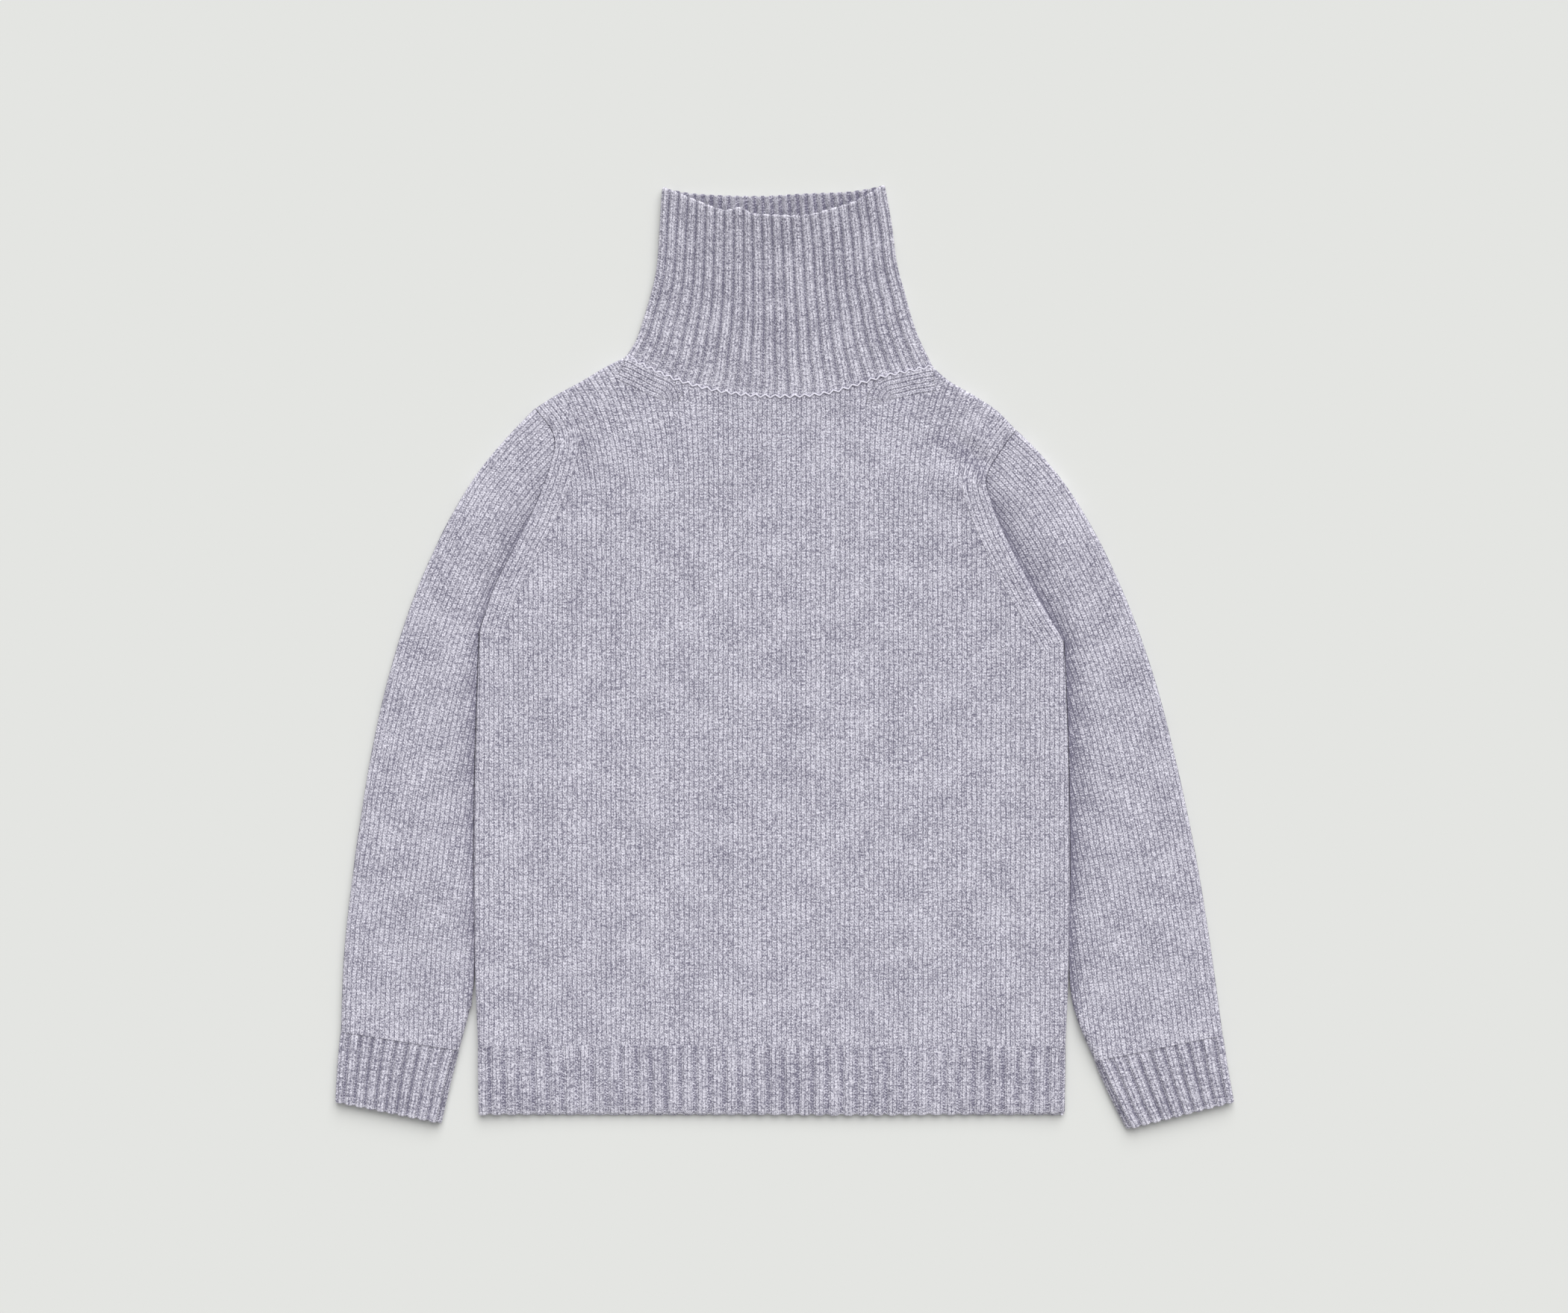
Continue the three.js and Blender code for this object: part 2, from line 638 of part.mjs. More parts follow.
function cuff(side) {
  const down = new THREE.Vector2(0, -SLANTED_GAP);
  const lowered = (edge) => (share) => edge(share).add(down.clone().multiplyScalar(1 - share));
  const fold = lowered(alongEdge(side.cuffFold));
  const inner = lowered(alongEdge(side.cuffInner));
  const plan = patch(straightEdge(fold(0), inner(0)), straightEdge(fold(1), inner(1)), fold, inner);
  return flatTube({
    shares: SLEEVE_RING,
    rows: evenShares(BAND_ROWS),
    upper: plan,
    lower: plan,
    edges: outlineOf(fold, inner),
    heightAt: () => CUFF_HEIGHT,
    thickness: RIB,
  });
}

// ---- Collar ------------------------------------------------------------------------------------------
function collar() {
  const up = new THREE.Vector2(0, SLANTED_GAP);
  const raised = (edge) => (share) => edge(share).add(up);
  const raisedAtSeam = (edge) => (share) => edge(share).add(up.clone().multiplyScalar(1 - share));
  const rightEdge = raisedAtSeam(alongEdge(SIDES.right.collar));
  const leftEdge = raisedAtSeam(alongEdge(SIDES.left.collar));
  const layer = (neck, mouth) => patch(raised(neckSeam(neck)), alongEdge(mouth), rightEdge, leftEdge);
  const neckWidth = BODY_WIDTH * (NECK_SHARES.left - NECK_SHARES.right);
  const edgeShares = EDGE_STEPS.slice(0, 3).map((distance) => distance / neckWidth);
  return flatTube({
    shares: [...evenShares(NECK_COLUMNS), ...edgeShares, ...edgeShares.map((share) => 1 - share)]
      .sort((a, b) => a - b),
    rows: evenShares(COLLAR_ROWS),
    upper: layer(FRONT_NECK, FRONT_MOUTH),
    lower: layer(BACK_NECK, BACK_MOUTH),
    edges: outlineOf(rightEdge, leftEdge),
    heightAt: (_, v) => THREE.MathUtils.lerp(NECK_HEIGHT, MOUTH_HEIGHT, v),
    thickness: RIB,
  });
}

// ---- The sweater -------------------------------------------------------------------------------------
const wool = (name, color) => new THREE.MeshStandardMaterial({ name, color, roughness: 0.95, metalness: 0 });
const plainKnit = wool("plain_knit", 0xbab8c5);
const ribKnit = wool("rib_knit", 0xadabb8);

const sweater = new THREE.Group();
sweater.name = "turtleneck_sweater";
const piece = (name, geometry, material) => {
  const mesh = new THREE.Mesh(geometry, material);
  mesh.name = name;
  sweater.add(mesh);
};

piece("front_panel", bodyPanel(false), plainKnit);
piece("back_panel", bodyPanel(true), plainKnit);
piece("front_hem_rib", hemRib(false), ribKnit);
piece("back_hem_rib", hemRib(true), ribKnit);
for (const [name, side] of Object.entries(SIDES)) {
  piece(`${name}_sleeve`, sleeve(side), plainKnit);
  piece(`${name}_cuff`, cuff(side), ribKnit);
}
piece("collar", collar(), ribKnit);

export default sweater;
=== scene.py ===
# %% [markdown]
# # A wool turtleneck sweater, laid flat
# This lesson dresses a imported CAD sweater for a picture. The CAD frame gives every piece's size and
# place; here each is made again on a finer grid, with ribs, rounded edges and soft creases, and gets
# a knitted finish. First comes the frame.

# %% Load the frame
import math

import bpy
import numpy as np
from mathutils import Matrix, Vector


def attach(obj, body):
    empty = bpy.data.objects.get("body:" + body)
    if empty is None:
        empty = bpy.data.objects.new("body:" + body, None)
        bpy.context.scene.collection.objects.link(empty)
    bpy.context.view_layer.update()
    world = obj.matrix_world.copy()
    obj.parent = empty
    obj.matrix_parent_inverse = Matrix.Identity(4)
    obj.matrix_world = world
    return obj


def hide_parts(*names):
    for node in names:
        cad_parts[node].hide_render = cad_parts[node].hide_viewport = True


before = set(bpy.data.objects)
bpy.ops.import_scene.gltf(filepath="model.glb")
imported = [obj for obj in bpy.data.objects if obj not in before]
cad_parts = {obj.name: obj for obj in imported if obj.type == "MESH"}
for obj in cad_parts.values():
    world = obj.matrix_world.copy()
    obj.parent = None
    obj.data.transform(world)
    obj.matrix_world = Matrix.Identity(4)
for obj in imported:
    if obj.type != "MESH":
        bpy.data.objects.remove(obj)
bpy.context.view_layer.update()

# %% [markdown]
# ## The camera
# A flat garment is looked at from straight above. The camera hangs three metres up, which leaves almost
# no perspective, and a long lens fills the picture with 1.33 m of the surface.

# %% Camera
MM = 0.001
SENSOR = 36.0
CAMERA_HEIGHT = 3.0
CAMERA_SHIFT = (-0.0006, 0.0006)
CLOTH_LEVEL = 0.005
VIEW_WIDTH = 1.3335

scene = bpy.context.scene
camera = bpy.data.objects.new("camera", bpy.data.cameras.new("camera"))
camera.data.sensor_width = SENSOR
camera.data.lens = SENSOR * (CAMERA_HEIGHT - CLOTH_LEVEL) / VIEW_WIDTH
camera.location = (*CAMERA_SHIFT, CAMERA_HEIGHT)
scene.collection.objects.link(camera)
scene.camera = camera
scene.view_settings.view_transform = "Standard"
print("lens in mm:", round(camera.data.lens, 1))

# %% [markdown]
# ## The surface and the light
# The sweater lies on a plain pale table top, a large plane, under soft studio light. A white sky fills
# the creases evenly; one wide, soft sun from above the collar's end draws the ribs, the stitches and a
# short shadow beside the cloth.

# %% Table top and light
TABLE_WIDTH = 60.0
TABLE_COLOUR = (0.775, 0.783, 0.760, 1.0)
SKY_STRENGTH = 0.364
SUN_STRENGTH = 2.78
SUN_SPREAD = math.radians(60)
SUN_DIRECTION = Vector((0.14, 0.68, 0.72))


def matt_material(name, roughness, specular):
    """A new material with little shine, and its shader."""
    material = bpy.data.materials.new(name)
    material.use_nodes = True
    shader = material.node_tree.nodes["Principled BSDF"]
    shader.inputs["Roughness"].default_value = roughness
    shader.inputs["Specular IOR Level"].default_value = specular
    return material, shader


corner = TABLE_WIDTH / 2
table_mesh = bpy.data.meshes.new("table_top")
corners = [(-corner, -corner, 0), (corner, -corner, 0), (corner, corner, 0), (-corner, corner, 0)]
table_mesh.from_pydata(corners, [], [(0, 1, 2, 3)])
table_top = bpy.data.objects.new("table_top", table_mesh)
scene.collection.objects.link(table_top)
table_paint, paint = matt_material("table_paint", 0.9, 0.0)
paint.inputs["Base Color"].default_value = TABLE_COLOUR
table_mesh.materials.append(table_paint)

studio = bpy.data.worlds.new("studio")
studio.use_nodes = True
sky = studio.node_tree.nodes["Background"]
sky.inputs["Color"].default_value = (1, 1, 1, 1)
sky.inputs["Strength"].default_value = SKY_STRENGTH
scene.world = studio

sun = bpy.data.objects.new("sun", bpy.data.lights.new("sun", "SUN"))
sun.data.energy = SUN_STRENGTH
sun.data.angle = SUN_SPREAD
sun.rotation_euler = SUN_DIRECTION.to_track_quat("Z", "Y").to_euler()
scene.collection.objects.link(sun)

# %% [markdown]
# ## The pattern pieces
# A knitter makes nine pieces: front, back, two hem ribs, two sleeves, two cuffs and the tall collar.
# Their outlines are the tables, in millimetres, that the CAD model was drawn from, so every new piece
# lies exactly where its CAD solid lies. The wearer's right is on -X and the left on +X.

# %% Thickness and heights
CLOTH = 2.8  # wall of the plain knit
RIB = 3.4  # wall of the ribbed bands
MIDDLE = 4.5  # height of the side seams and the sleeves' folds
EDGE_RADIUS = 4.5  # how far in from such an edge the cloth turns over
BODY_HEIGHT = 7.2  # the front in the open; the other tops follow
SIDE_HEIGHT = 9.0
SLEEVE_HEIGHT = 8.6
HEM_HEIGHT = 7.6
CUFF_HEIGHT = 8.6
NECK_HEIGHT = 9.0
MOUTH_HEIGHT = 10.2
LEAST_HEIGHT = 6.0  # where the front is pressed down
PUFF_REACH = 34.0  # how far an edge's extra height reaches in

# %% The outline of the body
BODY_X = -11.0
HEM_SEAM_Y = -330.0
FRONT_HEM_Y = -388.6
BACK_HEM_Y = -389.2
HEM_HALF_WIDTH = 249.0
UNDERARM_SHARE = 0.62  # of a panel's side
NECK_SHARES = (0.25, 0.77)  # the neck's start and end along a panel's top
SIDE_SEAM = [(-330, 250), (-250, 253), (-140, 253.5), (-40, 251)]
FRONT_NECK = [(-135, 255.5), (-93, 236), (-50, 225), (-7, 221.5), (37, 224.5), (82, 238), (126, 247)]
BACK_NECK = [(-135, 255.5), (-100, 246), (-50, 240), (-5, 238), (45, 239), (90, 242.5), (126, 247)]
FRONT_MOUTH = [
    (-103.5, 399), (-79, 389), (-52.5, 379), (-38, 381), (-27.5, 376), (-5.5, 374.5), (18, 374.5),
    (36, 379), (59, 386.5), (84.5, 401),
]
BACK_MOUTH = [(-103.5, 399), (-76, 394), (-25, 392), (16, 394), (57, 396), (84.5, 401)]

# %% The edges that differ from side to side
RIGHT = {
    "name": "right",
    "sign": -1,
    "armhole": [(-260, 19), (-248, 57), (-229, 95), (-213, 127), (-200.5, 159), (-196, 187), (-212.5, 211.5)],
    "shoulder": [(-212.5, 211.5), (-195.5, 222.5), (-172.5, 235), (-151.5, 247.5), (-135, 255.5)],
    "fold": [
        (-212.5, 211.5), (-245, 178), (-273, 139.5), (-310.5, 63.5), (-336, -13), (-353, -89),
        (-364.5, -165), (-374, -241), (-377.5, -318),
    ],
    "inner": [(-268, -297), (-273, -320), (-277, -334)],
    "cuff_fold": [(-377.5, -318), (-380, -350), (-381.6, -378)],
    "cuff_inner": [(-277, -334), (-283.5, -357), (-288.5, -378), (-292.5, -396)],
    "collar": [
        (-135, 255.5), (-126, 270), (-120, 287), (-113, 310), (-108, 334), (-105.5, 370), (-103.5, 399),
    ],
}
LEFT = {
    "name": "left",
    "sign": 1,
    "armhole": [
        (237.5, 13), (215, 51), (199.5, 79), (186.5, 105), (176, 130), (171.5, 152), (183, 174), (197, 193),
    ],
    "shoulder": [(197, 193), (181, 209.5), (161.5, 222.5), (140, 235), (126, 247)],
    "fold": [
        (197, 193), (214.5, 177), (245, 139.5), (284.5, 63.5), (313, -13), (333, -89), (349, -165),
        (361.5, -241), (372.5, -321),
    ],
    "inner": [(249, -311), (257, -328), (263.5, -343)],
    "cuff_fold": [(372.5, -321), (376.5, -350), (381.6, -378)],
    "cuff_inner": [(263.5, -343), (272, -362), (282, -383), (291.5, -401)],
    "collar": [(126, 247), (114.5, 270), (108, 287), (101.5, 310), (95, 334), (90, 370), (84.5, 401)],
}

# %% [markdown]
# ## Edges and patches
# Each outline edge is a smooth curve through its points, walked by share of its length. A Coons patch
# fills a piece's four edges with a grid, whose rows and columns bend with them. The grid of a flat mesh
# cut to the outline would not follow the seams.

# %% Smooth edges
EDGE_SAMPLES = 60
OUTLINE_POINTS = 61
TURN = 2 * math.pi


def spline(knots, t):
    """A Catmull-Rom curve that passes the knots at t = 0, 1, 2 and so on."""
    padded = np.concatenate([knots[:1], knots, knots[-1:]])
    i = np.minimum(t.astype(int), len(knots) - 2)
    f = (t - i).reshape((-1,) + (1,) * (knots.ndim - 1))
    before, start, end, after = (padded[i + k] for k in range(4))
    leave, arrive = (end - before) / 2, (after - start) / 2
    cubic = 2 * start - 2 * end + leave + arrive
    square = -3 * start + 3 * end - 2 * leave - arrive
    return cubic * f**3 + square * f**2 + leave * f + start


def smooth_edge(points):
    """A curve through the points, as a function from shares of its length to points."""
    knots = np.asarray(points, float)
    line = spline(knots, np.linspace(0, len(knots) - 1, EDGE_SAMPLES * (len(knots) - 1) + 1))
    steps = np.linalg.norm(np.diff(line, axis=0), axis=1)
    along = np.concatenate([[0], np.cumsum(steps)]) / steps.sum()
    return lambda share: np.stack([np.interp(share, along, line[:, k]) for k in range(2)], axis=-1)


def straight_edge(a, b):
    return lambda share: np.asarray(a) + np.multiply.outer(np.asarray(share, float), np.subtract(b, a))


def joined_edge(*parts):
    """One edge made of several (edge, end share) parts."""

    def at(share):
        share = np.asarray(share, float)
        found, start = parts[0][0](share), 0.0
        for edge, end in parts:
            here = edge(np.clip((share - start) / (end - start), 0, 1))
            found = np.where((share > start)[..., None] | (start == 0), here, found)
            start = end
        return found

    return at


def patch(bottom, top, left, right, u, v):
    """A grid of points between four edges, with rows along v and columns along u."""
    across, up = u[None, :, None], v[:, None, None]
    first, last = np.array([0.0]), np.array([1.0])
    corners = (
        bottom(first) * (1 - across) * (1 - up)
        + bottom(last) * across * (1 - up)
        + top(first) * (1 - across) * up
        + top(last) * across * up
    )
    between_ends = bottom(u)[None] * (1 - up) + top(u)[None] * up
    between_sides = left(v)[:, None] * (1 - across) + right(v)[:, None] * across
    return between_ends + between_sides - corners

# %% Distances from an edge
def along_line(line, points):
    """Distance from a line, length along it there, and on which side (1 is left)."""
    flat = points.reshape(-1, 2)
    nearest, along, walked = np.full(len(flat), np.inf), np.zeros(len(flat)), 0.0
    side = np.zeros(len(flat))
    for a, run in zip(line[:-1], np.diff(line, axis=0)):
        length = np.hypot(*run)
        share = np.clip((flat - a) @ run / (run @ run), 0, 1)
        off = flat - a - share[:, None] * run
        distance = np.hypot(off[:, 0], off[:, 1])
        along = np.where(distance < nearest, walked + share * length, along)
        side = np.where(distance < nearest, np.sign(run[0] * off[:, 1] - run[1] * off[:, 0]), side)
        nearest = np.minimum(nearest, distance)
        walked += length
    return [found.reshape(points.shape[:-1]) for found in (nearest, along, side)]


def distance_to(lines, points):
    """How far each point is from the nearest of the lines."""
    return np.min([along_line(line, points)[0] for line in lines], axis=0)


def outline(*edges):
    return [edge(np.linspace(0, 1, OUTLINE_POINTS)) for edge in edges]


def bell(distance, width):
    return np.exp(-((distance / width) ** 2))


def turn_over(distance, radius=EDGE_RADIUS):
    """0 on a turned edge and 1 from the radius inwards, as a quarter circle."""
    return np.sqrt(1 - (1 - np.clip(distance / radius, 0, 1)) ** 2)

# %% [markdown]
# ## A wall of cloth
# Knitted cloth is a thick, soft wall. Solidify could thicken a sheet, but it leaves square ends. This
# helper offsets both faces from the wall's middle, so that it can thin it towards its ends and swell it
# into ribs. Every corner also carries three pairs of values for the finish: "knit" counts stitch columns
# (wales) and rows (courses), "band" counts them from a seam, where knitting runs along the edge, and
# "shade" holds painted shade for the grooves and the creases, and painted highlights on turned rims.

# %% The wall builder
ROUND_END = 1.2  # how far from its end a wall starts to thin
THIN_END = 0.3  # share of its thickness that is left there
LAYERS = ("knit", "band", "shade")
FAR = 99.0  # wales from a seam, where no seam is near


def taper(distance, reach=ROUND_END, least=THIN_END):
    """Share of the wall's thickness that is left near its end."""
    return least + (1 - least) * turn_over(distance, reach)


def normals_of(face, is_ring):
    if is_ring:
        across = np.roll(face, -1, axis=1) - np.roll(face, 1, axis=1)
    else:
        across = np.gradient(face, axis=1)
    normal = np.cross(across, np.gradient(face, axis=0))
    return normal / np.maximum(np.linalg.norm(normal, axis=2, keepdims=True), 1e-9)


def coordinates(knit, band=FAR, groove=0.0, shadow=0.0):
    """The three pairs of values, side by side for each grid point."""
    values = np.full((*knit.shape[:2], 6), FAR)
    values[..., 0:2] = knit
    values[..., 2:4] = band
    values[..., 4] = groove
    values[..., 5] = shadow
    return values


def add_piece(name, points, faces):
    """A smooth mesh object from points in millimetres."""
    mesh = bpy.data.meshes.new(name)
    mesh.from_pydata((points * MM).tolist(), [], faces.tolist())
    mesh.polygons.foreach_set("use_smooth", np.ones(len(mesh.polygons), bool))
    piece = bpy.data.objects.new(name, mesh)
    scene.collection.objects.link(piece)
    return piece


def cloth_wall(name, face, order, thickness, left, swell, values, inner_shift, outward):
    """A closed wall. face is the grid of its outer face; order lists its columns as the strips of faces
    meet them; left is the share of thickness that stays; swell lifts the wall."""
    rows, columns = face.shape[:2]
    is_ring = order[0] == order[-1]
    normal = normals_of(face, is_ring) * outward
    middle = face + normal * np.asarray(swell - thickness / 2)[..., None]
    half = (normal.T * (left.T * thickness / 2)).T
    points = np.concatenate([(middle + half).reshape(-1, 3), (middle - half).reshape(-1, 3)])
    size = rows * columns
    strips = [(order[i], order[i + 1], i) for i in range(len(order) - 1) if order[i] != order[i + 1]]
    c0, c1, k = (np.array(x) for x in zip(*strips))
    r = np.arange(rows - 1)[:, None]
    corners = [(r, c0, k), (r, c1, k + 1), (r + 1, c1, k + 1), (r + 1, c0, k)]
    if outward < 0:
        corners = corners[::-1]
    outer = np.stack([a * columns + b for a, b, _ in corners], axis=-1).reshape(-1, 4)
    outer_values = np.stack([values[a, c] for a, _, c in corners], axis=-2).reshape(-1, 4, 6)
    inner_values = outer_values[:, ::-1] + np.array([inner_shift, 0, 0, 0, 0, 0])
    edges = {}
    for quad, corner_values in zip(outer, outer_values):
        for i in range(4):
            a, b = int(quad[i]), int(quad[(i + 1) % 4])
            if (b, a) in edges:
                del edges[(b, a)]
            else:
                edges[(a, b)] = corner_values[[(i + 1) % 4, i, i, (i + 1) % 4]]
    rim_faces = np.array([(b, a, a + size, b + size) for a, b in edges])
    piece = add_piece(name, points, np.concatenate([outer, outer[:, ::-1] + size, rim_faces]))
    mesh = piece.data
    all_values = np.concatenate([outer_values, inner_values, np.array(list(edges.values()))])
    for i, layer in enumerate(LAYERS):
        pairs = all_values[..., 2 * i:2 * i + 2].astype(np.float32)
        mesh.uv_layers.new(name=layer).data.foreach_set("uv", pairs.ravel())
    rim = {tuple(sorted(pair)) for a, b in edges for pair in ((a, b), (a + size, b + size))}
    sharp = [tuple(sorted(edge.vertices)) in rim for edge in mesh.edges]
    mesh.attributes.new("sharp_edge", "BOOLEAN", "EDGE").data.foreach_set("value", sharp)
    print(name, "has", 2 * len(mesh.polygons), "triangles")
    return piece

# %% [markdown]
# ## Grids
# The grid is fine where the cloth turns over or ends and coarser in the open. A quarter circle needs
# even angles, so its steps grow with the cosine.

# %% Steps from an edge
TURN_ANGLES = np.radians(np.arange(12, 91, 13))
TURN_STEPS = EDGE_RADIUS * (1 - np.cos(TURN_ANGLES))
END_STEPS = np.array([0.2, 0.55, 1.0, 1.6, 2.4, 3.6])


def divided(length, spacing, from_start=(), from_end=()):
    """Shares of a length: given distances from its two ends, and even steps between them."""
    first = from_start[-1] if len(from_start) else 0.0
    last = length - (from_end[-1] if len(from_end) else 0.0)
    between = np.linspace(first, last, max(2, round((last - first) / spacing) + 1))
    at = np.concatenate([[0, length], from_start, length - np.asarray(from_end, float), between])
    return np.unique(np.round(at / length, 7))

# %% [markdown]
# ## Creases
# The front puffs up along the side seams, sinks in along the armholes, and a few folds run from there,
# where the sleeves pull. A cloth simulation would make folds of its own somewhere else, so each one is
# placed as a soft ridge or trough, and a very low swell keeps the rest from looking stiff. The
# deepest creases also get painted shade in the cloth's colour.

# %% The front's height
VALLEY_DEPTH = 2.6  # how far the armhole seams sink in
VALLEY_WIDTH = 2.2
VALLEY_FADE = 24.0  # length over which a valley runs out at its ends
SEAM_SHARE = 0.3  # share of it that is left at the shoulders
CREASE_TOP = 160.0
CREASE_FADE = 50.0
FOLD_END = 0.35  # share of a fold's height at its ends
NECK_RISE = 1.2
NECK_RISE_REACH = 13.0
FRONT_FOLDS = [
    # from, to, half width, height
    ((-168, 184), (-166, 120), 9, -1.9),
    ((-146, 170), (-150, 90), 13, 0.8),
    ((122, 168), (160, 132), 13, 1.5),
    ((140, 191), (176, 159), 6, -2.0),
    ((150, 196), (182, 176), 8, 0.8),
    ((150, 120), (190, 40), 20, 0.8),
    ((-205, 60), (-216, -40), 16, 0.7),
    ((-182, 66), (-190, -30), 13, -0.6),
    ((206, 0), (218, -90), 17, 0.8),
    ((-96, 222), (-122, 196), 8, 0.7),
    ((84, 220), (108, 196), 8, 0.7),
]
ARMHOLE_RIDGES = {"right": (1.8, 17.0, 190.0), "left": (2.6, 20.0, 165.0)}  # rise, reach and top
RIDGE_FADE = 16.0
CREASES = [
    # through these points, half width, darkness of the painted shade
    ([(124, 187), (137, 180.5), (150, 171), (161, 160.5), (171, 148)], 3.2, 0.26),
    ([(130, 190), (142, 184), (154, 175), (165, 165), (175, 154)], 6.5, 0.1),
    ([(-166, 190), (-170, 160), (-171, 130)], 10, 0.07),
    ([(-212, 211), (-200, 192), (-197, 180)], 2.0, 0.1),
    ([(197, 193), (183, 174), (172, 153)], 2.0, 0.2),
]
SIDE_PUFF = 1.2
SIDE_PUFF_INSET = 7.0
SIDE_PUFF_WIDTH = 12.0
SIDE_PUFF_TOP = 20.0
SIDE_PUFF_FADE = 60.0
# length, direction in degrees, phase and height of each wave
SWELLS = [(310, 25, 0.3, 0.22), (190, -38, 1.7, 0.18), (120, 62, 4.1, 0.12), (86, -71, 2.6, 0.08)]


def side_seam(side):
    rows = [(BODY_X + side["sign"] * half, y) for y, half in SIDE_SEAM]
    return smooth_edge([*rows, side["armhole"][0]])


shoulders = [smooth_edge(s["shoulder"]) for s in (RIGHT, LEFT)]
body_edges = outline(side_seam(RIGHT), side_seam(LEFT), *shoulders)
right_armhole, left_armhole = (outline(smooth_edge(s["armhole"])) for s in (RIGHT, LEFT))
neck_line = outline(smooth_edge(FRONT_NECK))


def fold_rise(folds, points):
    rise = 0.0
    for start, end, width, height in folds:
        run = np.subtract(end, start).astype(float)
        share = np.clip((points - start) @ run / (run @ run), 0, 1)
        off = distance_to([np.array([start, end], float)], points)
        rise = rise + height * (FOLD_END + (1 - FOLD_END) * np.sin(np.pi * share)) * bell(off, width)
    return rise


def soft_swell(points):
    """Long, shallow waves in several directions."""
    rise = 0.0
    for length, angle, phase, height in SWELLS:
        turn = math.radians(angle)
        along = points[..., 0] * math.cos(turn) + points[..., 1] * math.sin(turn)
        rise = rise + height * np.sin(TURN * along / length + phase)
    return rise


def creased(points):
    """0 at the shoulders, 1 lower down, where the body bulges over the sleeves."""
    return np.clip((CREASE_TOP - points[..., 1]) / CREASE_FADE, 0, 1)


def armhole_relief(name, armhole, points, to_edge):
    """The cloth stands up towards the seam, and drops into it."""
    rise, reach, top = ARMHOLE_RIDGES[name]
    off = distance_to(armhole, points)
    below_top = np.clip((top - points[..., 1]) / RIDGE_FADE, 0, 1)
    depth = VALLEY_DEPTH * (SEAM_SHARE + (1 - SEAM_SHARE) * creased(points))
    relief = rise * np.exp(-off / reach) * below_top - depth * bell(off, VALLEY_WIDTH)
    return relief * np.clip(to_edge / VALLEY_FADE, 0, 1)


def front_height(points):
    to_edge = distance_to(body_edges, points)
    height = BODY_HEIGHT + (SIDE_HEIGHT - BODY_HEIGHT) * bell(to_edge, PUFF_REACH)
    low = np.clip((SIDE_PUFF_TOP - points[..., 1]) / SIDE_PUFF_FADE, 0, 1)
    height += SIDE_PUFF * bell(to_edge - SIDE_PUFF_INSET, SIDE_PUFF_WIDTH) * low
    height += fold_rise(FRONT_FOLDS, points) + soft_swell(points)
    height += NECK_RISE * bell(distance_to(neck_line, points), NECK_RISE_REACH)
    for name, armhole in (("right", right_armhole), ("left", left_armhole)):
        height += armhole_relief(name, armhole, points, to_edge)
    return np.maximum(height, LEAST_HEIGHT)


def crease_shadow(points):
    """Painted shade: how much darker the front's colour is, deep in its creases."""
    shadow = 0.0
    for line, half, dark in CREASES:
        shadow = shadow + dark * bell(distance_to([np.array(line, float)], points), half)
    return shadow

# %% [markdown]
# ## Counting stitches
# The finish follows the knitting, so each piece says where its wales and courses run. A flat projection
# would cut through the shaping: here the wales stand upright on the body and fan out near the shoulders,
# and along the armholes and the corners of the neck a band of them runs with the edge.

# %% Stitch coordinates of the body
WALE = 4.14
COURSE = 2.41
FAN_BASE = 130.0
FAN_REACH = 160.0
FAN_MIDDLE = 60.0  # half the width that stays upright
FAN_WIDTH = 140.0
FAN_LEAN = 0.5
FAN_RISE = 0.06
BAND_WALES = 5.0
NECK_CORNER = 0.14  # share of the neck seam that a band follows at each end


def body_knit(points):
    x, y = points[..., 0], points[..., 1]
    high = np.clip(y - FAN_BASE, 0, None) ** 2 / FAN_REACH
    aside = np.sign(x) * np.clip((np.abs(x) - FAN_MIDDLE) / FAN_WIDTH, 0, None)
    wales = (x - BODY_X - FAN_LEAN * aside * high) / WALE
    return np.stack([wales, (y - HEM_SEAM_Y + FAN_RISE * high) / COURSE], axis=-1)


def neck_guide(edge, sign):
    """A neck corner's seam, then a bend down the front, which the outermost wales follow."""
    flip = np.array([-sign, 1])
    line = edge * flip
    dx, dy = line[-1] - line[-2]
    headings = np.linspace(math.atan2(dy, dx), -math.pi / 2, 14)[:, None]
    step = (BAND_WALES + 0.5) * WALE * (headings[0] - headings[1])
    bend = line[-1] + np.cumsum(step * np.hstack([np.cos(headings), np.sin(headings)]), axis=0)
    return np.concatenate([line, bend]) * flip


def seam_band(points, has_neck=True):
    """Wales counted inwards from the nearest fashioned seam, and courses along it."""
    found = np.full(points.shape, FAR)
    guides = [(right_armhole[0], -1), (left_armhole[0], 1)]
    if has_neck:
        seam = smooth_edge(FRONT_NECK)
        share = np.linspace(0, NECK_CORNER, 16)
        guides += [(neck_guide(seam(share), -1), -1), (neck_guide(seam(1 - share), 1), 1)]
    for guide, inner_side in guides:
        off, along, side = along_line(guide, points)
        length = np.linalg.norm(np.diff(guide, axis=0), axis=1).sum()
        within = (along > 0) & (along < length) & (side * inner_side > 0)
        nearer = (off / WALE < found[..., 0]) & within
        found[nearer] = np.stack([off / WALE, along / COURSE], axis=-1)[nearer]
    return found

# %% [markdown]
# ## Front and back
# The two panels lie on each other and turn over to meet along the sides and shoulders. Two flat sheets
# sewn by cloth simulation would move the outline. So each panel is a patch between its hem line, its
# two sides and its top edge, lifted to its height.

